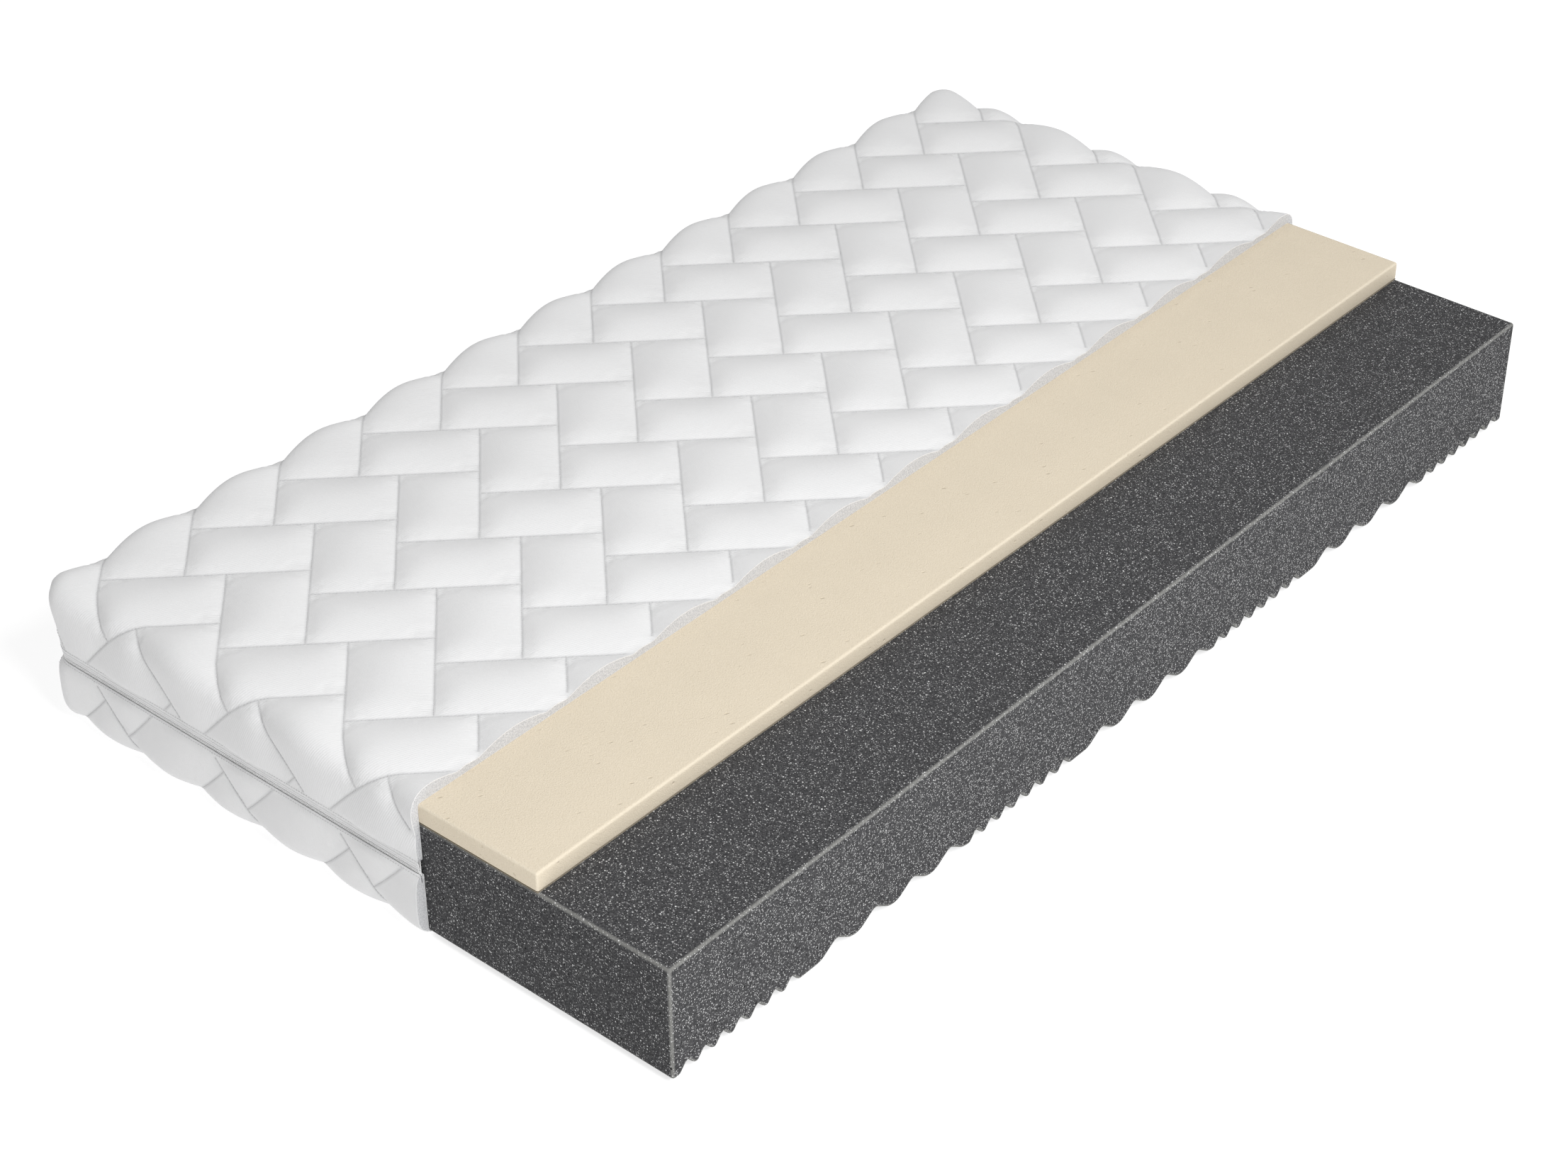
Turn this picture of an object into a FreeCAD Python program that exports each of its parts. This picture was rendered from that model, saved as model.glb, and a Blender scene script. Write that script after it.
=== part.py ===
import FreeCAD, Part
import math
import os

# Memory foam mattress, shown cut away along its right long side, in millimetres.
# X runs across the width, with the bare core on the +X side and the zipped cover on the -X side.
# Y runs along the length. Z points up from the surface that the mattress lies on.
# The origin is the middle of the underside of the whole object.

# ---- Foam core -------------------------------------------------------------------------------
core_length = 1970.0
core_width = 1145.0
core_height = 178.0
core_corner_radius = 28.0
memory_foam_height = 30.0
glue_height = 0.5

# Each layer stops short of the bare long side, so that the layer under it shows.
memory_foam_step = 215.6
cover_step = 422.3

# ---- Grooves across the underside of the core ------------------------------------------------
zone_repeats = 3
fine_groove_count = 7
fine_groove_pitch = 32.6
fine_groove_depth = 13.8
fine_lobe_radius = 6.5
fine_apex_radius = 3.5
large_groove_count = 4
large_groove_pitch = 77.8
large_groove_depth = 17.7
large_lobe_radius = 29.5
large_apex_radius = 10.0
first_groove_margin = 27.6
fine_to_large_gap = 87.0
large_to_fine_gap = 57.0

# ---- Quilted cover ---------------------------------------------------------------------------
side_thickness = 14.0
top_thickness = 20.0
base_thickness = 8.0
fabric_thickness = 1.5
lining_thickness = 0.8
top_edge_radius = 34.0
base_edge_radius = 24.0

# ---- Zip round the sides ---------------------------------------------------------------------
zip_level = 102.0
zip_parting = 0.3
upper_border = 13.3
border_margin = 0.3
tape_inset = 4.0
tape_thickness = 1.0
tape_width = 18.0
coil_height = 2.3
coil_depth = 2.6

# ---- Slider, pull tab and end stop -----------------------------------------------------------
slider_length = 13.0
slider_plate_thickness = 1.2
slider_flange_thickness = 0.8
bail_length = 7.0
bail_width = 2.2
bail_rise = 3.4
bail_wall = 1.0
pull_bar_radius = 0.6
pull_reach = 28.0
pull_width = 5.6
pull_arm_width = 1.1
pull_hole_width = 2.4
stop_length = 3.0
stop_depth = 3.2
slider_park_margin = 57.0

# ---- Sewing threads --------------------------------------------------------------------------
thread_width = 0.8
thread_depth = 0.6
seam_margin = 3.0

# ---- Clearances ------------------------------------------------------------------------------
fit_clearance = 0.3
slide_clearance = 0.3

# ---- Places worked out from the sizes --------------------------------------------------------
bare_side_x = (core_width + fit_clearance + side_thickness) / 2
closed_side_x = bare_side_x - core_width
memory_foam_edge_x = bare_side_x - memory_foam_step
cover_edge_x = bare_side_x - cover_step
core_end_y = core_length / 2
core_base_z = base_thickness + fit_clearance
core_top_z = core_base_z + core_height
foam_top_z = core_top_z + glue_height + memory_foam_height
parting_z = core_base_z + zip_level
upper_edge_z = parting_z + upper_border
half_parting = zip_parting / 2
chain_half = half_parting + coil_height
flange_reach = chain_half + slide_clearance + slider_flange_thickness
lower_edge_z = parting_z - flange_reach - border_margin
tape_front = tape_inset + tape_thickness
coil_front = tape_front + coil_depth
outer_face = fit_clearance + side_thickness

OVERSHOOT = 5.0
UP = FreeCAD.Vector(0, 0, 1)


def vec(x, y, z):
    """A FreeCAD vector from three numbers."""
    return FreeCAD.Vector(x, y, z)


def box(x0, x1, y0, y1, z0, z1):
    """A box between two corners."""
    return Part.makeBox(x1 - x0, y1 - y0, z1 - z0, vec(x0, y0, z0))


def slab(offset, open_x, z0, z1):
    """A flat block round the core's plan, grown by offset, square at open_x and rounded at the closed side."""
    left = closed_side_x - offset
    end = core_end_y + offset
    radius = core_corner_radius + offset
    turn = radius * (1 - math.sqrt(0.5))
    near_right = vec(open_x, -end, z0)
    near_left = vec(left + radius, -end, z0)
    near_turn = vec(left + turn, -end + turn, z0)
    left_near = vec(left, -end + radius, z0)
    left_far = vec(left, end - radius, z0)
    far_turn = vec(left + turn, end - turn, z0)
    far_left = vec(left + radius, end, z0)
    far_right = vec(open_x, end, z0)
    edges = [
        Part.LineSegment(near_right, near_left).toShape(),
        Part.Arc(near_left, near_turn, left_near).toShape(),
        Part.LineSegment(left_near, left_far).toShape(),
        Part.Arc(left_far, far_turn, far_left).toShape(),
        Part.LineSegment(far_left, far_right).toShape(),
        Part.LineSegment(far_right, near_right).toShape(),
    ]
    return Part.Face(Part.Wire(edges)).extrude(vec(0, 0, z1 - z0))


def rim_edges(solid, z, open_x):
    """The edges round the slab at height z, without the one at its open end."""
    found = []
    for edge in solid.Edges:
        flat = all(abs(vertex.Z - z) < 1e-6 for vertex in edge.Vertexes)
        at_open_end = all(abs(vertex.X - open_x) < 1e-6 for vertex in edge.Vertexes)
        if flat and not at_open_end:
            found.append(edge)
    return found


def cushion(inset, open_x):
    """The outside of the cover, drawn in by inset, with its rolled top and base edges."""
    z0 = inset
    z1 = foam_top_z + fit_clearance + top_thickness - inset
    block = slab(outer_face - inset, open_x, z0, z1)
    block = block.makeFillet(top_edge_radius - inset, rim_edges(block, z1, open_x))
    return block.makeFillet(base_edge_radius - inset, rim_edges(block, z0, open_x))


def band(z0, z1, inner, outer):
    """A strip that runs round the three covered sides, between two offsets from the core."""
    ring = slab(outer, cover_edge_x, z0, z1)
    return ring.cut(slab(inner, cover_edge_x + OVERSHOOT, z0 - OVERSHOOT, z1 + OVERSHOOT))


def above(solid, z):
    """What is left of a cover layer above height z."""
    half = 2 * (core_length + core_width)
    return solid.common(box(-half, half, -half, half, z, half))


def below(solid, z):
    """What is left of a cover layer below height z."""
    half = 2 * (core_length + core_width)
    return solid.common(box(-half, half, -half, half, -half, z))


# ---- Core foam -------------------------------------------------------------------------------
def groove_line(centre, half_pitch, depth, lobe_radius, apex_radius):
    """One groove of the underside: lobe, flank, rounded apex, flank and lobe, left to right."""
    rise = depth - apex_radius - lobe_radius
    reach = math.hypot(half_pitch, rise)
    flank = math.atan2(rise, half_pitch) + math.asin((lobe_radius + apex_radius) / reach)

    def lobe(side, angle):
        y = centre + side * (half_pitch - lobe_radius * math.sin(angle))
        return vec(bare_side_x, y, core_base_z + lobe_radius * (1 - math.cos(angle)))

    def apex(side, angle):
        y = centre + side * apex_radius * math.sin(angle)
        return vec(bare_side_x, y, core_base_z + depth - apex_radius * (1 - math.cos(angle)))

    return [
        Part.Arc(lobe(-1, 0), lobe(-1, flank / 2), lobe(-1, flank)).toShape(),
        Part.LineSegment(lobe(-1, flank), apex(-1, flank)).toShape(),
        Part.Arc(apex(-1, flank), apex(0, 0), apex(1, flank)).toShape(),
        Part.LineSegment(apex(1, flank), lobe(1, flank)).toShape(),
        Part.Arc(lobe(1, flank), lobe(1, flank / 2), lobe(1, 0)).toShape(),
    ]


def groove_plan():
    """Centre and style of every groove, from the near end to the far end."""
    fine = (fine_groove_pitch / 2, fine_groove_depth, fine_lobe_radius, fine_apex_radius)
    large = (large_groove_pitch / 2, large_groove_depth, large_lobe_radius, large_apex_radius)
    grooves = []
    y = -core_end_y + first_groove_margin
    for zone in range(zone_repeats + 1):
        for number in range(fine_groove_count):
            grooves.append((y + number * fine_groove_pitch, fine))
        y += (fine_groove_count - 1) * fine_groove_pitch + fine_to_large_gap
        if zone == zone_repeats:
            break
        for number in range(large_groove_count):
            grooves.append((y + number * large_groove_pitch, large))
        y += (large_groove_count - 1) * large_groove_pitch + large_to_fine_gap
    return [groove for groove in grooves if groove[0] + groove[1][0] < core_end_y]


def underside_edges():
    """The grooved line of the underside, with flat land wherever two grooves don't meet."""
    edges = []
    y = -core_end_y
    for centre, style in groove_plan():
        start = centre - style[0]
        if start - y > 1e-6:
            edges.append(
                Part.LineSegment(vec(bare_side_x, y, core_base_z), vec(bare_side_x, start, core_base_z)).toShape()
            )
        edges += groove_line(centre, *style)
        y = centre + style[0]
    edges.append(
        Part.LineSegment(vec(bare_side_x, y, core_base_z), vec(bare_side_x, core_end_y, core_base_z)).toShape()
    )
    return edges


def core_foam():
    """The dark base foam: a plain block above, forty cross grooves below."""
    low_near = vec(bare_side_x, -core_end_y, core_base_z)
    low_far = vec(bare_side_x, core_end_y, core_base_z)
    high_near = vec(bare_side_x, -core_end_y, core_top_z)
    high_far = vec(bare_side_x, core_end_y, core_top_z)
    edges = underside_edges()
    edges.append(Part.LineSegment(low_far, high_far).toShape())
    edges.append(Part.LineSegment(high_far, high_near).toShape())
    edges.append(Part.LineSegment(high_near, low_near).toShape())
    block = Part.Face(Part.Wire(edges)).extrude(vec(-core_width, 0, 0))
    return block.common(slab(0, bare_side_x, core_base_z, core_top_z))


def glue_layer():
    """The adhesive film that joins the memory foam to the base foam."""
    return slab(0, memory_foam_edge_x, core_top_z, core_top_z + glue_height)


def memory_foam():
    """The memory foam sheet on top of the base foam."""
    return slab(0, memory_foam_edge_x, core_top_z + glue_height, foam_top_z)


# ---- Cover layers ----------------------------------------------------------------------------
def zip_tape(side):
    """The woven tape of one zip half: side is 1 for the upper half and -1 for the lower."""
    z0, z1 = sorted((parting_z + side * half_parting, parting_z + side * tape_width))
    return band(z0, z1, tape_inset, tape_front)


def zip_coil(side):
    """The coil of one zip half, sewn on the front of its tape at the parting line."""
    z0, z1 = sorted((parting_z + side * half_parting, parting_z + side * (half_parting + coil_height)))
    return band(z0, z1, tape_front, coil_front)


def zip_seam(side):
    """The row of stitching that holds the tape, let into the fabric beside the zip."""
    edge_z = upper_edge_z if side > 0 else lower_edge_z
    z0, z1 = sorted((edge_z + side * seam_margin, edge_z + side * (seam_margin + thread_width)))
    return band(z0, z1, outer_face - thread_depth, outer_face)


def corner_cutters():
    """Two upright bars, one through each rounded corner of the fabric, where its seams lie."""
    radius = core_corner_radius + outer_face
    reach = (radius - thread_depth) * math.sqrt(0.5)
    centre_x = closed_side_x + core_corner_radius
    height = foam_top_z + top_thickness - top_edge_radius - base_edge_radius
    bars = []
    for side in (-1, 1):
        centre_y = side * (core_end_y - core_corner_radius)
        bar = Part.makeBox(2 * thread_depth, thread_width, height, vec(0, -thread_width / 2, 0))
        bar.rotate(vec(0, 0, 0), UP, 180 - side * 45)
        bar.translate(vec(centre_x - reach, centre_y + side * reach, base_edge_radius))
        bars.append(bar)
    return bars


def cover_layers():
    """Fabric, wadding and lining of the whole cover, as closed shells open at the cut edge."""
    past_cut = cover_edge_x + OVERSHOOT
    outside = cushion(0, cover_edge_x)
    wadding_outside = cushion(fabric_thickness, past_cut)
    lining_offset = fit_clearance + lining_thickness
    lining_low = core_base_z - lining_offset
    lining_high = foam_top_z + lining_offset
    lining_outside = slab(lining_offset, past_cut, lining_low, lining_high)
    cavity = slab(fit_clearance, past_cut, core_base_z - fit_clearance, foam_top_z + fit_clearance)
    cut_side = box(cover_edge_x, past_cut + OVERSHOOT, -core_length, core_length, -core_length, core_length)
    fabric = outside.cut(wadding_outside)
    wadding = wadding_outside.cut(lining_outside).cut(cut_side)
    lining = lining_outside.cut(cavity).cut(cut_side)
    return fabric, wadding, lining


def cover_half(side, layers):
    """All sewn pieces of one half of the cover: side is 1 for the top half and -1 for the bottom."""
    fabric, wadding, lining = layers
    keep = above if side > 0 else below
    edge_z = upper_edge_z if side > 0 else lower_edge_z
    half = "top" if side > 0 else "bottom"
    level = "upper" if side > 0 else "lower"
    tape = zip_tape(side)
    seam = zip_seam(side)
    half_fabric = keep(fabric, edge_z)
    corner_threads = []
    for bar in corner_cutters():
        thread = half_fabric.common(keep(bar, edge_z + side * (seam_margin + 2 * thread_width)))
        corner_threads.append(thread)
        half_fabric = half_fabric.cut(thread)
    return {
        half + "_cover_fabric": half_fabric.cut(seam),
        half + "_cover_wadding": keep(wadding, edge_z).cut(tape),
        half + "_cover_lining": keep(lining, parting_z + side * half_parting),
        level + "_zip_tape": tape,
        level + "_zip_coil": zip_coil(side),
        level + "_zip_seam_thread": seam,
        half + "_corner_seam_threads": Part.makeCompound(corner_threads),
    }


# ---- Slider, pull tab and end stop -----------------------------------------------------------
park_y = core_end_y - core_corner_radius - slider_park_margin
plate_back = coil_front + slide_clearance
plate_front = plate_back + slider_plate_thickness
pivot_front = plate_front + (bail_rise - bail_wall) / 2


def on_zip(front0, front1, y0, y1, z0, z1):
    """A box on the closed long side, placed by its distance from the core, its place along the zip and height."""
    return box(
        closed_side_x - front1, closed_side_x - front0, park_y + y0, park_y + y1, parting_z + z0, parting_z + z1
    )


def zip_slider():
    """The slider's front plate, the two flanges over the chain's edges and the bail for the pull tab."""
    half = slider_length / 2
    body = on_zip(plate_back, plate_front, -half, half, -flange_reach, flange_reach)
    flange_back = tape_front + slide_clearance
    for side in (-1, 1):
        z0, z1 = sorted((side * flange_reach, side * (flange_reach - slider_flange_thickness)))
        body = body.fuse(on_zip(flange_back, plate_front, -half, half, z0, z1))
    bail_half = bail_length / 2
    wide = bail_width / 2
    bail = on_zip(plate_back, plate_front + bail_rise, -bail_half, bail_half, -wide, wide)
    opening = on_zip(
        plate_front, plate_front + bail_rise - bail_wall, bail_wall - bail_half, bail_half - bail_wall, -wide, wide
    )
    return body.fuse(bail.cut(opening)).removeSplitter()


def zip_pull_tab():
    """The pull tab: a bar under the bail, two arms beside it and a plate with a hole to grip."""
    arm_inner = bail_width / 2 + slide_clearance
    arm_outer = arm_inner + pull_arm_width
    plate_start = bail_length / 2 + pull_bar_radius + 1.0
    back = pivot_front - pull_bar_radius
    front = pivot_front + pull_bar_radius
    pivot = vec(closed_side_x - pivot_front, park_y, parting_z - arm_outer)
    tab = Part.makeCylinder(pull_bar_radius, 2 * arm_outer, pivot, UP)
    for side in (-1, 1):
        z0, z1 = sorted((side * arm_inner, side * arm_outer))
        tab = tab.fuse(on_zip(back, front, 0, plate_start + 1.0, z0, z1))
    plate = on_zip(back, front, plate_start, pull_reach, -pull_width / 2, pull_width / 2)
    hole_start = pull_reach - pull_width - pull_hole_width
    hole = on_zip(
        back, front, hole_start, pull_reach - pull_hole_width, -pull_hole_width / 2, pull_hole_width / 2
    )
    return tab.fuse(plate.cut(hole)).removeSplitter()


def stop_room():
    """The space of the end stop, on the lower tape just past the parked slider."""
    start = slider_length / 2 + slide_clearance
    return on_zip(tape_front, tape_front + stop_depth, start, start + stop_length, -chain_half, -half_parting)


def park_room():
    """The space where the upper coil ends, so that the parked slider lets the top half go."""
    reach = slider_length / 2 + 2 * slide_clearance
    return on_zip(0, outer_face, -reach, reach + stop_length, 0, tape_width)


# ---- Build -----------------------------------------------------------------------------------
def build():
    """Every piece of the mattress by name."""
    layers = cover_layers()
    parts = {
        "core_foam": core_foam(),
        "glue_layer": glue_layer(),
        "memory_foam": memory_foam(),
    }
    parts.update(cover_half(1, layers))
    parts.update(cover_half(-1, layers))
    parts["upper_zip_coil"] = parts["upper_zip_coil"].cut(park_room())
    parts["lower_zip_coil"] = parts["lower_zip_coil"].cut(stop_room())
    parts["zip_end_stop"] = stop_room()
    parts["zip_slider"] = zip_slider()
    parts["zip_pull_tab"] = zip_pull_tab()
    return parts


os.makedirs("parts", exist_ok=True)
for name, shape in build().items():
    shape.exportStep("parts/" + name + ".step")
    bounds = shape.BoundBox
    print(
        name, "solids", len(shape.Solids), "valid", shape.isValid(), "volume", round(shape.Volume),
        "x", round(bounds.XMin, 2), round(bounds.XMax, 2),
        "y", round(bounds.YMin, 2), round(bounds.YMax, 2),
        "z", round(bounds.ZMin, 2), round(bounds.ZMax, 2),
    )
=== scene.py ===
"""Looks of the memory foam mattress: quilted two-part cover, zip, foam layers and studio, in metres."""
import logging
import math
from dataclasses import dataclass
from enum import Enum
from typing import Iterable, Sequence

import bmesh
import bpy
import numpy as np
from mathutils import Matrix, Vector


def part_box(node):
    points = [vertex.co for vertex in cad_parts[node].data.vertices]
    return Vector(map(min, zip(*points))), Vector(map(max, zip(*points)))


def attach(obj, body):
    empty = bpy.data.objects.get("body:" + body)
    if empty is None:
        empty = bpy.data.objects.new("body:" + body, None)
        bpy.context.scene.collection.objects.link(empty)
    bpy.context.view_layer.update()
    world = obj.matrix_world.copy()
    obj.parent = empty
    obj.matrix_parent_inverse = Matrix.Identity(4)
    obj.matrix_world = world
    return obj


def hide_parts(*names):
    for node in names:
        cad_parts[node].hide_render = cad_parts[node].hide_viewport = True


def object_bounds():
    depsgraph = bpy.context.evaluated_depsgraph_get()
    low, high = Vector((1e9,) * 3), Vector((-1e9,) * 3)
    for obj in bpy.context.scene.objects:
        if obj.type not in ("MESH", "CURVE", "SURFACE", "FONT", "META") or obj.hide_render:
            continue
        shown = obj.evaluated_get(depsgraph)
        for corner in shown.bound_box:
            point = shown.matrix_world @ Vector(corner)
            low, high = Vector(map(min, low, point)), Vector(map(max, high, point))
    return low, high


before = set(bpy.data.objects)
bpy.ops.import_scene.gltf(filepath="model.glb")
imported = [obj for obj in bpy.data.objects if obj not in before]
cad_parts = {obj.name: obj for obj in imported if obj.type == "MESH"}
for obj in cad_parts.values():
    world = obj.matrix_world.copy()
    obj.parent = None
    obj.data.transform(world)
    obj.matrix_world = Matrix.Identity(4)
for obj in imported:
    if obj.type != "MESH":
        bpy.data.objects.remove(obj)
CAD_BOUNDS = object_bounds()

Array = np.ndarray
Colour = tuple[float, float, float, float]
Edge = tuple[int, int]
Face = tuple[int, ...]
Material = bpy.types.Material
Piece = bpy.types.Object
Socket = bpy.types.NodeSocket

LOG = logging.getLogger("mattress")
QUARTER_TURN = math.pi / 2
SHARP_ANGLE = math.radians(50)


class Half(Enum):
    """The two halves of the cover, and the way each one faces along Z."""

    TOP = 1
    BOTTOM = -1


class Lean(Enum):
    """Which way a quilting line runs across a grid square."""

    NONE = 0
    RIGHT = 1
    LEFT = 2


def smooth(x: Array | float) -> Array | float:
    """An even S-curve from 0 to 1, held at its ends."""
    t = np.clip(x, 0.0, 1.0)
    return t * t * (3 - 2 * t)


# ---- Node trees ------------------------------------------------------------------------------
def add_node(
    tree: bpy.types.NodeTree, kind: str, inputs: dict[object, object] | None = None, **settings: object
) -> bpy.types.Node:
    """Adds a node to a shader or geometry tree.

    Args:
        tree: The tree.
        kind: The node's type name.
        inputs: What goes into its inputs: values, sockets, or nodes for their first output.
        settings: Property values by name.

    Returns:
        The new node.
    """
    made = tree.nodes.new(kind)
    for key, value in settings.items():
        setattr(made, key, value)
    for key, value in (inputs or {}).items():
        if isinstance(value, bpy.types.Node):
            value = value.outputs[0]
        if isinstance(value, Socket):
            tree.links.new(value, made.inputs[key])
        else:
            made.inputs[key].default_value = value
    return made


class Shading:
    """Builds one material's node tree."""

    def __init__(self, name: str) -> None:
        """Makes the material with its shader.

        Args:
            name: The material's name.
        """
        self.material = bpy.data.materials.new(name)
        self.material.use_nodes = True
        self.tree = self.material.node_tree
        self.shader = self.tree.nodes["Principled BSDF"]
        self.place = self.node("ShaderNodeTexCoord").outputs["Object"]

    def node(
        self, kind: str, inputs: dict[object, object] | None = None, **settings: object
    ) -> bpy.types.Node:
        """Adds a node to the material's tree."""
        return add_node(self.tree, kind, inputs, **settings)

    def attribute(self, name: str) -> Socket:
        """The value of a named attribute as a number."""
        return self.node("ShaderNodeAttribute", attribute_name=name).outputs["Fac"]

    def math(self, operation: str, *values: object, clamp: bool = False) -> Socket:
        """One sum on numbers or sockets."""
        return self.node(
            "ShaderNodeMath", dict(enumerate(values)), operation=operation, use_clamp=clamp
        ).outputs[0]

    def turned(self, source: Socket, angle: float, scale: Sequence[float]) -> Socket:
        """Coordinates turned about Z by an angle and then scaled."""
        turn = self.node("ShaderNodeVectorRotate", {"Vector": source, "Angle": angle}, rotation_type="Z_AXIS")
        return self.node("ShaderNodeVectorMath", {0: turn, 1: scale}, operation="MULTIPLY").outputs[0]

    def noise(self, source: Socket, scale: float, detail: float = 3.0) -> Socket:
        """Cloudy noise from 0 to 1, with a number of blobs in a metre and of finer layers."""
        return self.node(
            "ShaderNodeTexNoise", {"Vector": source, "Scale": scale, "Detail": detail}
        ).outputs["Fac"]

    def bands(self, source: Socket, scale: float) -> Socket:
        """Slanting bands from 0 to 1."""
        inputs = {"Vector": source, "Scale": scale}
        return self.node(
            "ShaderNodeTexWave", inputs, wave_type="BANDS", bands_direction="DIAGONAL"
        ).outputs["Fac"]

    def cells(self, source: Socket, scale: float) -> tuple[Socket, Sequence[Socket]]:
        """Scattered cells, counted in a metre: distance to the nearest, and its random numbers."""
        cell = self.node("ShaderNodeTexVoronoi", {"Vector": source, "Scale": scale}, feature="F1")
        return (
            cell.outputs["Distance"], self.node("ShaderNodeSeparateColor", {0: cell.outputs["Color"]}).outputs
        )

    def ramp(self, value: Socket, low: float, high: float) -> Socket:
        """A value stretched so that low gives 0 and high gives 1, held at both ends."""
        inputs = {"Value": value, "From Min": low, "From Max": high}
        return self.node("ShaderNodeMapRange", inputs, clamp=True).outputs["Result"]

    def mix(self, share: object, first: object, second: object) -> Socket:
        """A blend of two colours, with a share of the second."""
        inputs = {"Factor": share, "A": first, "B": second}
        return self.node("ShaderNodeMix", inputs, data_type="RGBA").outputs["Result"]

    def bump(self, height: Socket, depth: float, strength: float) -> None:
        """Adds relief to the shader, on top of what it already has.

        Args:
            height: The relief from 0 to 1.
            depth: How deep it is, in metres.
            strength: The share of it that shows.
        """
        inputs = {"Strength": strength, "Distance": depth, "Height": height}
        normal = self.shader.inputs["Normal"]
        if normal.is_linked:
            inputs["Normal"] = normal.links[0].from_socket
        self.tree.links.new(self.node("ShaderNodeBump", inputs).outputs["Normal"], normal)

    def finish(self, colour: object, roughness: object, **constants: float) -> Material:
        """Sets the shader's inputs.

        Args:
            colour: The base colour or its socket.
            roughness: The roughness or its socket.
            constants: Other inputs by name, with underscores for spaces.

        Returns:
            The finished material.
        """
        for name, value in {"Base Color": colour, "Roughness": roughness, **constants}.items():
            socket = self.shader.inputs[name.replace("_", " ")]
            if isinstance(value, Socket):
                self.tree.links.new(value, socket)
            else:
                socket.default_value = value
        return self.material


def grey(value: float) -> Colour:
    """An even grey as a shader colour."""
    return (value, value, value, 1.0)


def dimmed(colour: Colour, share: float) -> Colour:
    """A colour with only a share of its brightness."""
    return tuple(share * c for c in colour[:3]) + (1.0,)


# ---- Materials -------------------------------------------------------------------------------
@dataclass(frozen=True)
class KnitFinish:
    """White double-knit cover cloth with fine slanting ribs, and painted shade in the creases beside its
    quilting lines.
    """

    name: str = "white_knit"
    slant: float = math.radians(28)
    rib_pitch: float = 0.0030
    rib_depth: float = 0.00022
    colour: Colour = (0.775, 0.775, 0.778, 1.0)
    # Painted shade: beside each quilting line the cloth is mixed towards a darker grey, standing in for the
    # shade in the crease.
    seam_shade_colour: Colour = (0.50, 0.502, 0.51, 1.0)
    seam_shade_reach: float = 0.0036
    seam_shade_share: float = 0.62

    def build(self) -> Material:
        """The material."""
        shade = Shading(self.name)
        cloth = shade.node("ShaderNodeUVMap", uv_map="cloth").outputs["UV"]
        ribs = shade.node(
            "ShaderNodeTexWave",
            {
                "Vector": shade.turned(cloth, self.slant, (1.0, 1.0, 1.0)),
                "Scale": math.pi / 10 / self.rib_pitch,
                "Distortion": 0.6,
                "Detail": 1.0,
                "Detail Scale": 60.0,
            },
            wave_type="BANDS", bands_direction="X", wave_profile="SIN",
        )
        loops, _ = shade.cells(shade.turned(cloth, self.slant, (1.0, 0.55, 1.0)), 1 / (0.55 * self.rib_pitch))
        clouds = shade.ramp(shade.noise(shade.place, 9.0, 4.0), 0.3, 0.7)
        # Painted shade along the quilting lines, darkest on the line and fading out across the crease.
        seam = shade.ramp(shade.attribute("stitch_distance"), self.seam_shade_reach, 0.0)
        tone = shade.mix(clouds, self.colour, dimmed(self.colour, 0.975))
        tone = shade.mix(shade.math("MULTIPLY", seam, self.seam_shade_share), tone, self.seam_shade_colour)
        near = shade.ramp(shade.attribute("stitch_distance"), 0.030, 0.003)
        shade.bump(shade.math("MULTIPLY", shade.noise(cloth, 75.0, 2.0), near), 0.0016, 0.55)
        shade.bump(loops, self.rib_depth, 0.35)
        shade.bump(ribs.outputs["Fac"], self.rib_depth, 0.8)
        return shade.finish(tone, 0.88, Sheen_Weight=0.12, Sheen_Roughness=0.5, Specular_IOR_Level=0.25)


@dataclass(frozen=True)
class WaddingFinish:
    """Grey polyester fibre wadding, with its fibres and clumps."""

    name: str = "fibre_wadding"
    light: Colour = (0.70, 0.70, 0.71, 1.0)
    dark: Colour = (0.45, 0.455, 0.47, 1.0)

    def build(self) -> Material:
        """The material."""
        shade = Shading(self.name)
        clumps = shade.noise(shade.place, 420.0, 6.0)
        fibres = shade.noise(shade.turned(shade.place, 0.6, (1.0, 3.0, 1.0)), 620.0, 4.0)
        share = shade.math("ADD", shade.math("MULTIPLY", clumps, 0.6), shade.math("MULTIPLY", fibres, 0.4))
        shade.bump(clumps, 0.0012, 0.6)
        shade.bump(fibres, 0.0008, 0.6)
        tone = shade.mix(shade.ramp(share, 0.36, 0.62), self.dark, self.light)
        return shade.finish(tone, 0.97, Specular_IOR_Level=0.1)


@dataclass(frozen=True)
class LiningFinish:
    """Thin nonwoven backing with its bonding dots."""

    name: str = "nonwoven_lining"

    def build(self) -> Material:
        """The material."""
        shade = Shading(self.name)
        dots, _ = shade.cells(shade.place, 420.0)
        web = shade.ramp(shade.noise(shade.place, 700.0, 5.0), 0.3, 0.7)
        shade.bump(shade.ramp(dots, 0.1, 0.5), 0.0003, 0.6)
        return shade.finish(shade.mix(web, grey(0.60), grey(0.74)), 0.92, Specular_IOR_Level=0.15)


@dataclass(frozen=True)
class TapeFinish:
    """Woven zip tape: a fine twill."""

    name: str = "woven_tape"

    def build(self) -> Material:
        """The material."""
        shade = Shading(self.name)
        threads = shade.ramp(shade.noise(shade.place, 900.0, 2.0), 0.3, 0.7)
        shade.bump(shade.bands(shade.place, 330.0), 0.0002, 0.7)
        return shade.finish(shade.mix(threads, grey(0.84), grey(0.92)), 0.85, Specular_IOR_Level=0.2)


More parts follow.
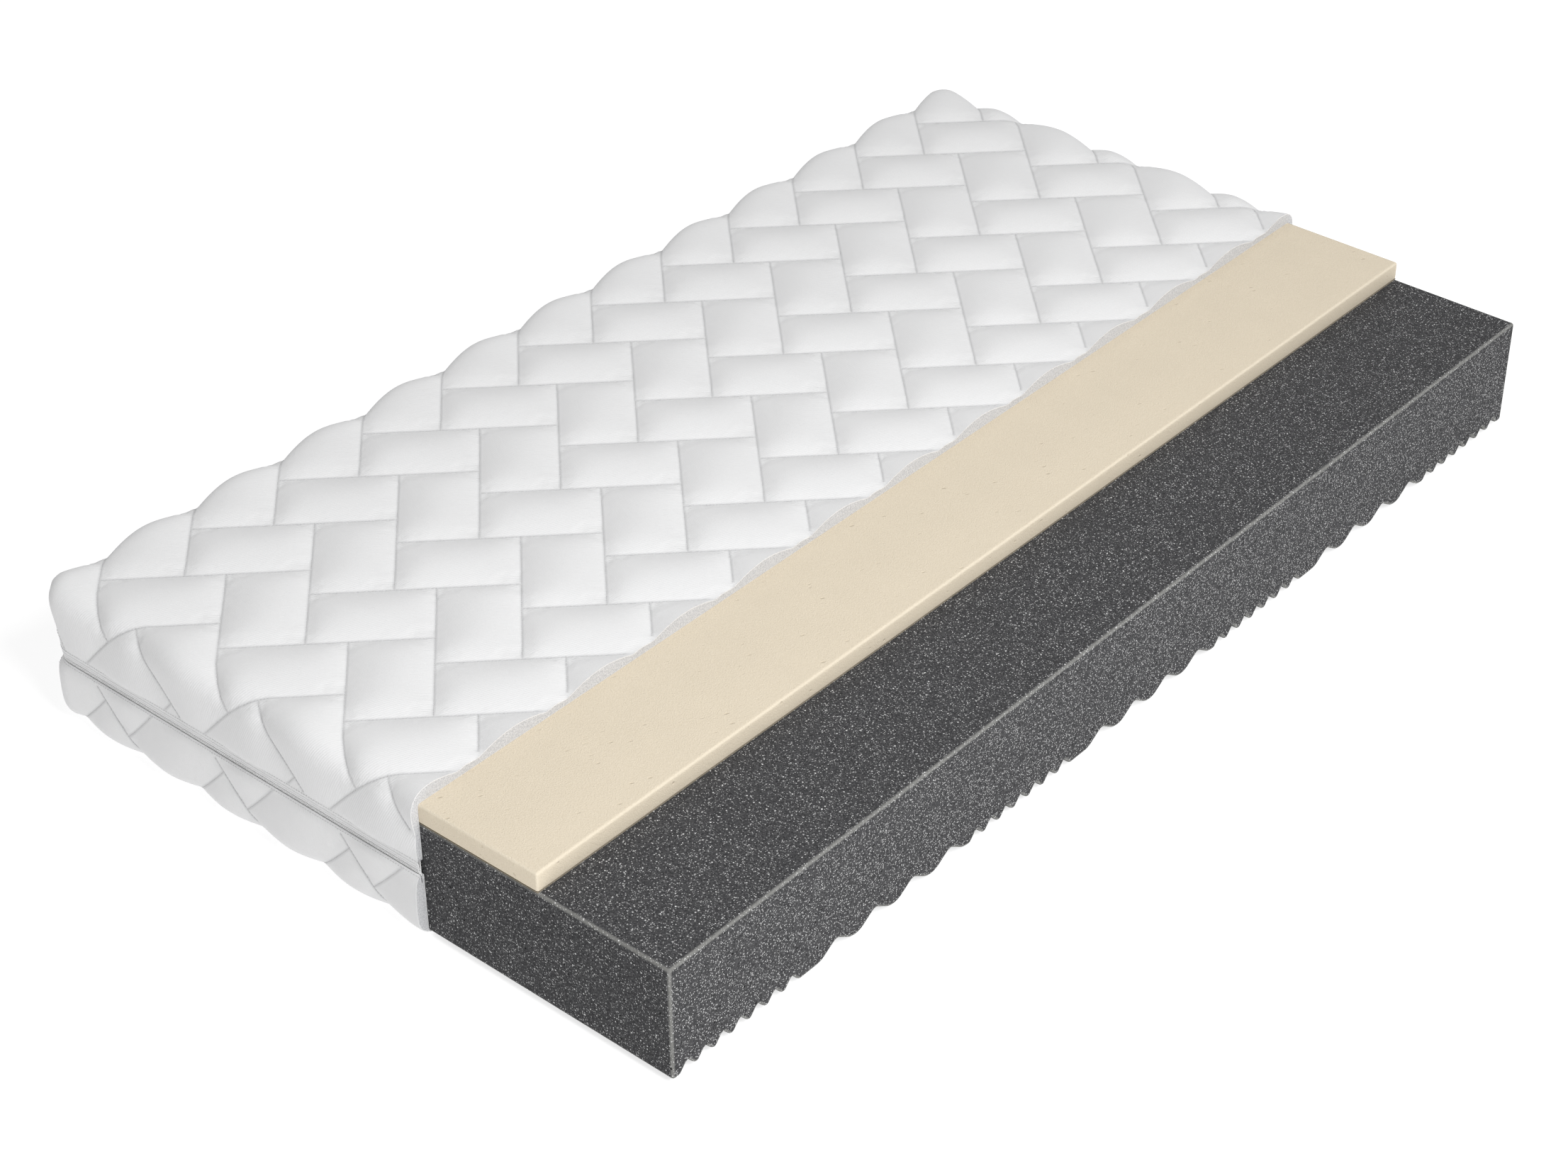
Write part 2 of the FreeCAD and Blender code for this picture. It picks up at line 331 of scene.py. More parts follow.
@dataclass(frozen=True)
class ThreadFinish:
    """Twisted polyester thread, or the nylon of the zip's coils."""

    name: str
    tone: float
    roughness: float = 0.55

    def build(self) -> Material:
        """The material."""
        shade = Shading(self.name)
        twist = shade.bands(shade.place, 520.0)
        shade.bump(twist, 0.0001, 0.5)
        return shade.finish(
            shade.mix(twist, grey(0.86 * self.tone), grey(self.tone)), self.roughness, Specular_IOR_Level=0.35
        )


@dataclass(frozen=True)
class CoreFinish:
    """Dark open-cell foam with white flecks of three sizes, black pores and a painted highlight along its
    rounded edges.
    """

    name: str = "dark_foam"
    base: Colour = (0.088, 0.088, 0.091, 1.0)
    pit: Colour = (0.026, 0.026, 0.028, 1.0)
    fleck: Colour = (0.95, 0.95, 0.95, 1.0)
    pore: Colour = (0.004, 0.004, 0.004, 1.0)
    # Colour of the painted highlight along the block's rounded edges.
    edge: Colour = (0.22, 0.22, 0.21, 1.0)
    flecks: tuple[tuple[float, float, float], ...] = (
        (190.0, 0.27, 0.50), (290.0, 0.29, 0.42), (400.0, 0.32, 0.35),
    )

    def build(self) -> Material:
        """The material."""
        shade = Shading(self.name)
        grain = shade.noise(shade.place, 420.0, 5.0)
        spots: object = 0.0
        for scale, reach, rarity in self.flecks:
            offset = {0: shade.place, 1: (0.37 * scale / 100, 0.11, 0.53)}
            wander = shade.node("ShaderNodeVectorMath", offset, operation="ADD")
            distance, chance = shade.cells(wander.outputs[0], scale)
            lit = shade.math(
                "MULTIPLY", shade.ramp(distance, reach, 0.5 * reach), shade.ramp(chance[0], rarity, 1.0)
            )
            spots = shade.math("MAXIMUM", spots, lit)
        ragged = shade.math(
            "MULTIPLY", spots, shade.ramp(shade.noise(shade.place, 900.0, 2.0), 0.30, 0.55), clamp=True
        )
        # Painted highlight: lighter along the rounded edges, broken up a little by the grain.
        rim = shade.math("MULTIPLY", shade.attribute("edge"), shade.ramp(grain, -0.3, 0.5))
        distance, chance = shade.cells(shade.place, 72.0)
        hole = shade.math("MULTIPLY", shade.ramp(distance, 0.13, 0.09), shade.ramp(chance[2], 0.60, 0.62))
        tone = shade.mix(shade.ramp(grain, 0.34, 0.70), self.pit, self.base)
        tone = shade.mix(shade.math("MULTIPLY", rim, 0.9), tone, self.edge)
        tone = shade.mix(hole, shade.mix(ragged, tone, self.fleck), self.pore)
        shade.bump(grain, 0.0016, 0.75)
        return shade.finish(tone, 0.93, Specular_IOR_Level=0.18)


@dataclass(frozen=True)
class MemoryFinish:
    """Beige memory foam: close even cells, a few open pores and a painted highlight along its rounded edges."""

    name: str = "beige_foam"
    base: Colour = (0.745, 0.660, 0.525, 1.0)
    deep: Colour = (0.64, 0.55, 0.41, 1.0)
    # Colour of the painted highlight along the rounded edges.
    edge: Colour = (0.80, 0.73, 0.60, 1.0)

    def build(self) -> Material:
        """The material."""
        shade = Shading(self.name)
        grain = shade.noise(shade.place, 520.0, 4.0)
        distance, chance = shade.cells(shade.turned(shade.place, 0.5, (1.0, 0.45, 1.0)), 85.0)
        pore = shade.math("MULTIPLY", shade.ramp(distance, 0.17, 0.06), shade.ramp(chance[1], 0.55, 0.90))
        clouds = shade.ramp(shade.noise(shade.place, 14.0, 4.0), 0.25, 0.75)
        tone = shade.mix(clouds, self.base, dimmed(self.base, 0.965))
        for share, amount, colour in (
            (shade.ramp(grain, 0.62, 0.35), 0.35, self.deep),
            (pore, 0.70, self.deep),
            # Painted highlight along the rounded edges, from the edge attribute.
            (shade.attribute("edge"), 0.30, self.edge),
        ):
            tone = shade.mix(shade.math("MULTIPLY", share, amount), tone, colour)
        shade.bump(shade.math("SUBTRACT", 1.0, pore), 0.0015, 0.6)
        shade.bump(grain, 0.0012, 0.8)
        return shade.finish(tone, 0.90, Specular_IOR_Level=0.2)


@dataclass(frozen=True)
class EnamelFinish:
    """White enamel on the cast zip slider."""

    name: str = "white_enamel"

    def build(self) -> Material:
        """The material."""
        shade = Shading(self.name)
        wear = shade.noise(shade.place, 900.0, 3.0)
        shade.bump(wear, 0.0001, 0.3)
        tone = shade.mix(shade.ramp(wear, 0.60, 0.72), grey(0.74), grey(0.58))
        return shade.finish(tone, shade.ramp(wear, -1.2, 2.6), Coat_Weight=0.3, Coat_Roughness=0.2)


@dataclass(frozen=True)
class GlueFinish:
    """Dried adhesive between the two foams."""

    name: str = "dried_glue"

    def build(self) -> Material:
        """The material."""
        shade = Shading(self.name)
        film = shade.noise(shade.place, 300.0, 3.0)
        shade.bump(film, 0.0003, 0.5)
        return shade.finish(shade.mix(film, (0.16, 0.14, 0.11, 1.0), (0.34, 0.30, 0.23, 1.0)), 0.6)


class Finishes:
    """Every finish of the mattress, built once."""

    def __init__(self) -> None:
        """Builds the materials."""
        self.knit = KnitFinish().build()
        self.wadding = WaddingFinish().build()
        self.lining = LiningFinish().build()
        self.tape = TapeFinish().build()
        self.thread = ThreadFinish("sewing_thread", 0.62).build()
        self.coil = ThreadFinish("nylon_coil", 0.93, 0.45).build()
        self.core = CoreFinish().build()
        self.memory = MemoryFinish().build()
        self.enamel = EnamelFinish().build()
        self.glue = GlueFinish().build()


# ---- Pieces ----------------------------------------------------------------------------------
def add_object(name: str, mesh: bpy.types.Mesh) -> Piece:
    """Links a new object for a mesh.

    Args:
        name: The piece's name.
        mesh: Its mesh.

    Returns:
        The object.
    """
    made = bpy.data.objects.new(name, mesh)
    bpy.context.scene.collection.objects.link(made)
    return made


def new_mesh(name: str, points: Array, faces: Sequence[Face]) -> bpy.types.Mesh:
    """A mesh made from points and faces.

    Args:
        name: The mesh's name.
        points: One row of three numbers for each vertex.
        faces: Vertex numbers of each face.

    Returns:
        The mesh.
    """
    mesh = bpy.data.meshes.new(name)
    mesh.from_pydata([tuple(p) for p in points], [], [tuple(f) for f in faces])
    mesh.update()
    return mesh


def set_attribute(mesh: bpy.types.Mesh, name: str, values: Array, kind: str = "FLOAT") -> None:
    """Stores one number for each vertex, or three if kind is FLOAT_VECTOR."""
    made = mesh.attributes.new(name, kind, "POINT")
    made.data.foreach_set("value" if kind == "FLOAT" else "vector", np.asarray(values, np.float32).ravel())


def set_pattern(mesh: bpy.types.Mesh, places: Array) -> None:
    """Stores the cloth's flat coordinates as a UV map.

    Args:
        mesh: The mesh.
        places: Two numbers for each vertex, in metres.
    """
    layer = mesh.uv_layers.new(name="cloth")
    corners = np.empty(len(mesh.loops), np.int32)
    mesh.loops.foreach_get("vertex_index", corners)
    layer.data.foreach_set("uv", np.asarray(places, np.float32)[corners].ravel())


def shade_smooth(mesh: bpy.types.Mesh) -> None:
    """Shades every face of a mesh smoothly."""
    mesh.polygons.foreach_set("use_smooth", [True] * len(mesh.polygons))


def settle(piece: Piece, body: str, node: str) -> None:
    """Lets a piece ride on a body in place of a CAD node, which it hides."""
    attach(piece, body)
    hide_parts(node)


def dress(node: str, material: Material) -> None:
    """Gives a CAD node its material."""
    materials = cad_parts[node].data.materials
    materials.clear()
    materials.append(material)


def split_square(corners: Sequence[int], lean: int) -> list[Face]:
    """One grid square as faces, cut along its quilting line.

    Args:
        corners: Its vertices, anticlockwise from the lower left.
        lean: A Lean value.

    Returns:
        One square or two triangles.
    """
    a, b, c, d = corners
    if lean == Lean.RIGHT.value:
        return [(a, b, c), (a, c, d)]
    if lean == Lean.LEFT.value:
        return [(a, b, d), (b, c, d)]
    return [(a, b, c, d)]


# ---- The quilt's pattern ---------------------------------------------------------------------
@dataclass(frozen=True)
class Herringbone:
    """Herringbone bricks at 45 degrees, counted in steps of a square grid whose diagonals they follow."""

    step: float
    origin: tuple[int, int]
    brick_width: int = 12
    brick_length: int = 18

    @property
    def course(self) -> int:
        """Grid steps after which the pattern repeats along the length."""
        return 2 * self.brick_width

    @property
    def repeat(self) -> int:
        """Grid steps after which the pattern repeats across the width."""
        return 2 * self.brick_length

    def locate(self, i: Array, j: Array) -> tuple[Array, Array, Array]:
        """Finds the brick that each grid place is in.

        Args:
            i: Grid places across the width.
            j: Grid places along the length.

        Returns:
            Places along and across the brick, in diagonals, and whether the brick leans left.
        """
        across = np.mod(np.asarray(i, float) - self.origin[0], self.repeat)
        along = np.mod(np.asarray(j, float) - self.origin[1], self.course)
        p, q = (across + along) / 2, (along - across) / 2
        width, length = self.brick_width, self.brick_length
        run, side = np.zeros_like(p), np.zeros_like(p)
        left, found = np.zeros(p.shape, bool), np.zeros(p.shape, bool)
        for m in range(-2, 3):
            for n in range(-2, 3):
                a, b = p - m * width - n * length, q - m * width + n * length
                right_brick = ~found & (a >= 0) & (a <= length) & (b >= 0) & (b <= width)
                run[right_brick], side[right_brick] = a[right_brick], b[right_brick]
                found |= right_brick
                left_brick = ~found & (a >= length - width) & (a <= length) & (b >= -length) & (b <= 0)
                run[left_brick] = (b + length)[left_brick]
                side[left_brick] = (a - length + width)[left_brick]
                left |= left_brick
                found |= left_brick
        return run, side, left

    def distance(self, i: Array, j: Array) -> Array:
        """Distance to the nearest quilting line, in metres.

        Args:
            i: Grid places across the width.
            j: Grid places along the length.

        Returns:
            The distances.
        """
        run, side, _ = self.locate(i, j)
        nearest = np.minimum.reduce([run, self.brick_length - run, side, self.brick_width - side])
        return nearest * math.sqrt(2) * self.step

    def lean(self, i: Array, j: Array) -> Array:
        """The quilting line that crosses each grid square from corner to corner, if any.

        Args:
            i: Lower grid place of each square across the width.
            j: Lower grid place of each square along the length.

        Returns:
            A Lean value for each square.
        """
        run, side, left = self.locate(np.asarray(i) + 0.5, np.asarray(j) + 0.5)
        at_end = np.isclose(np.minimum(run, self.brick_length - run), 0)
        at_side = np.isclose(np.minimum(side, self.brick_width - side), 0)
        rightward = (at_side & ~left) | (at_end & left)
        leftward = (at_side & left) | (at_end & ~left)
        return np.where(rightward, Lean.RIGHT.value, np.where(leftward, Lean.LEFT.value, Lean.NONE.value))


@dataclass
class QuiltPuff:
    """How the cloth swells between the quilting lines, for one repeat, found by cloth simulation."""

    pattern: Herringbone
    enlarge: float = 10.0
    frames: int = 26
    repeats: int = 3
    cloth = {
        "vertex_group_mass": "held",
        "quality": 6,
        "mass": 0.3,
        "air_damping": 4.0,
        "tension_stiffness": 18.0,
        "compression_stiffness": 10.0,
        "shear_stiffness": 6.0,
        "bending_stiffness": 1.5,
        "shrink_min": -0.035,
        "use_pressure": True,
        "uniform_pressure_force": 3.2,
    }

    def drawn(self) -> Array:
        """A swell worked out by formula, for quick tries.

        Returns:
            Sideways, lengthways and outward shift for each grid place of one repeat, with a crown of 1.
        """
        i, j = np.mgrid[0 : self.pattern.repeat, 0 : self.pattern.course]
        run, side, _ = self.pattern.locate(i + self.pattern.origin[0], j + self.pattern.origin[1])
        along = np.abs(2 * run / self.pattern.brick_length - 1)
        across = np.abs(2 * side / self.pattern.brick_width - 1)
        crown = (1 - along**4.0) ** 0.8 * (1 - across**2.6) ** 0.8
        return np.stack([0 * crown, 0 * crown, crown], axis=-1)

    def test_sheet(self, flat: Array, i: Array, j: Array) -> Piece:
        """A flat sheet whose quilting lines and edges are held.

        Args:
            flat: Its points.
            i: Their grid places across.
            j: Their grid places along.

        Returns:
            The sheet.
        """
        rows, columns = i.shape
        lean = self.pattern.lean(i, j)
        faces = []
        for row in range(rows - 1):
            for column in range(columns - 1):
                a = row * columns + column
                faces += split_square((a, a + 1, a + columns + 1, a + columns), lean[row, column])
        sheet = add_object("quilt_test_sheet", new_mesh("quilt_test_sheet", flat, faces))
        edge = (i == 0) | (j == 0) | (i == columns - 1) | (j == rows - 1)
        held = edge | (self.pattern.distance(i, j) < 1e-6)
        sheet.vertex_groups.new(name="held").add(
            [int(k) for k in np.flatnonzero(held.ravel())], 1.0, "REPLACE"
        )
        return sheet

    def simulated(self) -> Array:
        """The swell of a sheet that is held at its quilting lines and blown up from below.

        Returns:
            As drawn() gives.
        """
        repeat, course = self.pattern.repeat, self.pattern.course
        j, i = np.mgrid[0 : (self.repeats + 1) * course + 1, 0 : self.repeats * repeat + 1]
        size = self.pattern.step * self.enlarge
        flat = np.stack([i * size, j * size, 0.0 * i], axis=-1)
        sheet = self.test_sheet(flat.reshape(-1, 3), i, j)
        cloth = sheet.modifiers.new("swell", "CLOTH")
        for name, value in self.cloth.items():
            setattr(cloth.settings, name, value)
        cloth.settings.effector_weights.gravity = 0.0
        cloth.collision_settings.use_collision = False
        cloth.point_cache.frame_start, cloth.point_cache.frame_end = 1, self.frames
        scene = bpy.context.scene
        for number in range(1, self.frames + 1):
            scene.frame_set(number)
            bpy.context.view_layer.update()
        blown = sheet.evaluated_get(bpy.context.evaluated_depsgraph_get()).to_mesh()
        moved = np.empty(len(blown.vertices) * 3)
        blown.vertices.foreach_get("co", moved)
        shift = moved.reshape(flat.shape) - flat
        scene.frame_set(1)
        bpy.data.objects.remove(sheet)
        cell = np.transpose(shift[course : 2 * course, repeat : 2 * repeat], (1, 0, 2))
        if cell[..., 2].mean() < 0:
            cell = cell * np.array([1.0, 1.0, -1.0])
        LOG.info("swell %.3f", cell[..., 2].max())
        return cell / cell[..., 2].max()

    def build(self) -> Array:
        """The swell, found by cloth simulation."""
        return self.simulated()


# ---- Repeats by Geometry Nodes ---------------------------------------------------------------
class BeadTree:
    """A node group that sets small rounded beads along rails: stitches of thread or turns of a zip coil."""

    sizes = {"Pitch": 0.0047, "Along": 0.0036, "Across": 0.0010, "Depth": 0.0008, "Tilt": 0.08}
    seed = 7

    def __init__(self, name: str) -> None:
        """Builds the group with its named inputs.

        Args:
            name: The group's name.
        """
        self.group = bpy.data.node_groups.new(name, "GeometryNodeTree")
        self.sockets: dict[str, str] = {}
        face = self.group.interface
        kinds = {
            "Geometry": "Geometry", **dict.fromkeys(self.sizes, "Float"), "Seed": "Int", "Material": "Material",
        }
        for label, kind in kinds.items():
            socket = face.new_socket(label, in_out="INPUT", socket_type="NodeSocket" + kind)
            self.sockets[label] = socket.identifier
            if label in self.sizes:
                socket.default_value = self.sizes[label]
        face.new_socket("Geometry", in_out="OUTPUT", socket_type="NodeSocketGeometry")
        self.wire()

    def add(
        self, kind: str, inputs: dict[object, object] | None = None, **settings: object
    ) -> bpy.types.Node:
        """Adds a node to the group."""
        return add_node(self.group, kind, inputs, **settings)

    def wire(self) -> None:
        """Joins the nodes: rails to curves, evenly spaced points, turned beads, one mesh."""
        source = self.add("NodeGroupInput").outputs
        curves = self.add("GeometryNodeMeshToCurve", {"Mesh": source["Geometry"]})
        spaced = self.add(
            "GeometryNodeResampleCurve", {"Curve": curves, "Length": source["Pitch"]}, mode="LENGTH"
        )
        bead = self.add("GeometryNodeMeshUVSphere", {"Segments": 6, "Rings": 4, "Radius": 0.5})
        lying = self.add("GeometryNodeTransform", {"Geometry": bead, "Rotation": (0.0, QUARTER_TURN, 0.0)})
        size = self.add(
            "ShaderNodeCombineXYZ", {"X": source["Along"], "Y": source["Across"], "Z": source["Depth"]}
        )
        sized = self.add("GeometryNodeTransform", {"Geometry": lying, "Scale": size})
        tangent = self.add("GeometryNodeInputTangent")
        follow = self.add("FunctionNodeAlignRotationToVector", {"Vector": tangent}, axis="X")
        outward = self.add("GeometryNodeInputNamedAttribute", {"Name": "outward"}, data_type="FLOAT_VECTOR")
        face_out = self.add(
            "FunctionNodeAlignRotationToVector",
            {"Rotation": follow, "Vector": outward.outputs["Attribute"]}, axis="Z", pivot_axis="X",
        )
        negative = self.add("ShaderNodeMath", {0: source["Tilt"], 1: -1.0}, operation="MULTIPLY")
        limits = {"Min": negative, "Max": source["Tilt"], "Seed": source["Seed"]}
        chance = self.add("FunctionNodeRandomValue", limits, data_type="FLOAT").outputs["Value"]
        lean = self.add("FunctionNodeAxisAngleToRotation", {"Axis": (0.0, 0.0, 1.0), "Angle": chance})
        turns = {"Rotation": face_out, "Rotate By": lean}
        turned = self.add("FunctionNodeRotateRotation", turns, rotation_space="LOCAL")
        placed = self.add(
            "GeometryNodeInstanceOnPoints", {"Points": spaced, "Instance": sized, "Rotation": turned}
        )
        real = self.add("GeometryNodeRealizeInstances", {"Geometry": placed})
        shade = self.add("GeometryNodeSetShadeSmooth", {"Geometry": real})
        finish = self.add("GeometryNodeSetMaterial", {"Geometry": shade, "Material": source["Material"]})
        self.add("NodeGroupOutput", {"Geometry": finish})


@dataclass(frozen=True)
class Beads:
    """The size of one bead and its spacing along its rail."""

    pitch: float
    along: float
    across: float
    depth: float
    tilt: float = 0.06

    def string(
        self, tree: BeadTree, name: str, points: Array, outward: Array, edges: Iterable[Edge],
        material: Material,
    ) -> Piece:
        """Sets beads along rails and makes them one plain mesh.

        Args:
            tree: The node group.
            name: The piece's name.
            points: The rails' points.
            outward: The direction away from the surface at each point.
            edges: Pairs of points that the rails join.
            material: The beads' material.

        Returns:
            The piece.
        """
        rail = bpy.data.meshes.new(name + "_rail")
        rail.from_pydata([tuple(p) for p in points], [tuple(e) for e in edges], [])
        set_attribute(rail, "outward", outward, "FLOAT_VECTOR")
        carrier = add_object(name + "_carrier", rail)
        modifier = carrier.modifiers.new("beads", "NODES")
        modifier.node_group = tree.group
        sizes = zip(tree.sizes, (self.pitch, self.along, self.across, self.depth, self.tilt))
        for label, value in (*sizes, ("Seed", tree.seed), ("Material", material)):
            modifier[tree.sockets[label]] = value
        bpy.context.view_layer.update()
        evaluated = carrier.evaluated_get(bpy.context.evaluated_depsgraph_get())
        mesh = bpy.data.meshes.new_from_object(evaluated)
        mesh.name = name
        bpy.data.objects.remove(carrier)
        LOG.info("%s: %d faces", name, len(mesh.polygons))
        return add_object(name, mesh)


# ---- The cover -------------------------------------------------------------------------------
@dataclass(frozen=True)
class FoamEdge:
    """How rounded the foam's edges are: nearly square where it is bare, pressed rounder under the cover."""

    cut_x: float
    pressed: float = 0.012
    pressed_base: float = 0.020
    bare: float = 0.0035
    ease: float = 0.05

    def radius(self, x: Array, face: int) -> Array:
        """The edge's radius.

        Args:
            x: Places across the width.
            face: 1 for the top face's edges and -1 for the underside's.

        Returns:
            One radius for each place.
        """
        pressed = self.pressed if face > 0 else self.pressed_base
        return self.bare + (pressed - self.bare) * smooth((self.cut_x - 0.004 - x) / self.ease)

    def soften(self, points: Array, low: Vector, high: Vector, corner: float, faces: Sequence[int]) -> Array:
        """Draws a block's edges in to their radius.

        Args:
            points: The block's points.
            low: The block's lowest corner.
            high: Its highest corner.
            corner: The radius of its upright corners.
            faces: 1 for the edges of the top face and -1 for those of the underside.

        Returns:
            The new points.
        """
        points = points.copy()
        middle, half = (low.y + high.y) / 2, (high.y - low.y) / 2
        past = np.column_stack(
            [low.x + corner - points[:, 0], np.abs(points[:, 1] - middle) - (half - corner)]
        )
        beyond = np.maximum(past, 0.0)
        spread = np.hypot(beyond[:, 0], beyond[:, 1])
        inside = np.where(spread > 0, corner - spread, corner - past.max(axis=1))
        away = beyond / np.maximum(spread, 1e-9)[:, None]
        away[:, 0] *= -1
        away[:, 1] *= np.sign(points[:, 1] - middle)
        for face in faces:
            radius = self.radius(points[:, 0], face)
            level = high.z if face > 0 else low.z
            depth = face * (level - points[:, 2])
            a, b = radius - inside, radius - depth
            size = np.hypot(a, b)
            drawn = (a > 0) & (b > 0) & (size > radius)
            share = np.where(drawn, radius / np.maximum(size, 1e-9), 1.0)
            points[:, :2] -= away * (a * (1 - share))[:, None] * drawn[:, None]
            points[:, 2] -= face * b * (1 - share) * drawn
        return points


@dataclass
class CoverSection:
    """The upright section of one half at its quilting lines, from the face over the edge to the zip."""

    half: Half
    foam_face: float
    face_valley: float
    face_crown: float
    side_valley: float
    side_crown: float
    edge_radius: float
    foam_corner: float
    seam_level: float
    fade_reach: float
    roll_crown: float = 0.0045
    take_up: float = 0.005

    @property
    def face_level(self) -> float:
        """Height of the quilting lines on the flat face."""
        return self.foam_face + self.half.value * self.face_valley

    @property
    def side_reach(self) -> float:
        """Distance of the side's quilting lines from the line through the corner centres."""
        return self.foam_corner + self.side_valley

    @property
    def roll_start(self) -> float:
        """Where the rolled edge starts, from the line through the corner centres."""
        return self.side_reach - self.edge_radius

    @property
    def roll_end(self) -> float:
        """Where the rolled edge ends, along the cloth."""
        return self.roll_start + QUARTER_TURN * self.edge_radius

    @property
    def seam_run(self) -> float:
        """Distance along the cloth from the line through the corner centres to the seam beside the zip."""
        return self.distance_at(self.seam_level)

    def taken_up(self, laid: float) -> float:
        """Distance along the cloth once the quilting has drawn it in over the edge.

        Args:
            laid: The distance as it was laid out flat.

        Returns:
            The distance in place.
        """
        return laid - self.take_up * math.sin(math.pi * min(max(laid / self.seam_run, 0.0), 1.0))

    def crown(self, turn: Array) -> Array:
        """How far a full puff rises over the quilting lines, from how far the cloth has turned over."""
        sideways = np.sin(turn) ** 2
        level = (
            (1 - sideways) * (self.face_crown - self.face_valley)
            + sideways * (self.side_crown - self.side_valley)
        )
        return level + self.roll_crown * np.sin(2 * turn) ** 2

    def angle(self, s: Array) -> Array:
        """How far the cloth has turned over, from 0 on the face to a quarter turn on the side."""
        return np.clip((s - self.roll_start) / self.edge_radius, 0.0, QUARTER_TURN)

    def outer(self, s: Array) -> tuple[Array, Array]:
        """Reach and height of the quilting-line surface.

        Args:
            s: Distances along the cloth from the line through the corner centres.

        Returns:
            Distance from that line, and height.
        """
        turn = self.angle(s)
        reach = np.where(s < self.roll_start, s, self.roll_start + self.edge_radius * np.sin(turn))
        drop = self.edge_radius * (1 - np.cos(turn)) + np.maximum(s - self.roll_end, 0.0)
        return reach, self.face_level - self.half.value * drop

    def inner(self, s: Array, gap: float, rounding: Array) -> tuple[Array, Array]:
        """Reach and height of the surface that lies on the foam.

        Args:
            s: Distances along the cloth.
            gap: How far it stands off the foam.
            rounding: Radius of the foam's edge there.

        Returns:
            Distance from the line through the corner centres, and height.
        """
        turn = self.angle(s)
        corner, face = self.foam_corner + gap, self.foam_face + self.half.value * gap
        start, rise = self.roll_start, self.half.value * (face - self.face_level) + self.edge_radius
        round_reach, round_rise = corner - rounding, rise - rounding
        along, up = np.sin(turn), np.cos(turn)
        to_face = rise / np.maximum(up, 1e-9)
        to_side = (corner - start) / np.maximum(along, 1e-9)
        off = (start - round_reach) * along - round_rise * up
        lean = off**2 - ((start - round_reach) ** 2 + round_rise**2 - rounding**2)
        to_round = -off + np.sqrt(np.maximum(lean, 0.0))
        on_face = start + to_face * along <= round_reach
        on_side = to_side * up <= round_rise
        length = np.where(on_face, to_face, np.where(on_side, to_side, to_round))
        reach = np.where(s < start, s, start + length * along)
        centre = self.face_level - self.half.value * self.edge_radius
        height = centre + self.half.value * length * up - self.half.value * np.maximum(s - self.roll_end, 0.0)
        return reach, height

    def distance_at(self, height: float) -> float:
        """Distance along the cloth to a height on the side."""
        roll_bottom = self.face_level - self.half.value * self.edge_radius
        return self.roll_end + self.half.value * (roll_bottom - height)


@dataclass
class Net:
    """The flat net of one half: its vertices' grid places, sides, and faces."""

    places: Array
    centres: Array
    facing: Array
    run: Array
    faces: list[Face]
    stitches: list[Edge]
    rows: dict[str, list[int]]


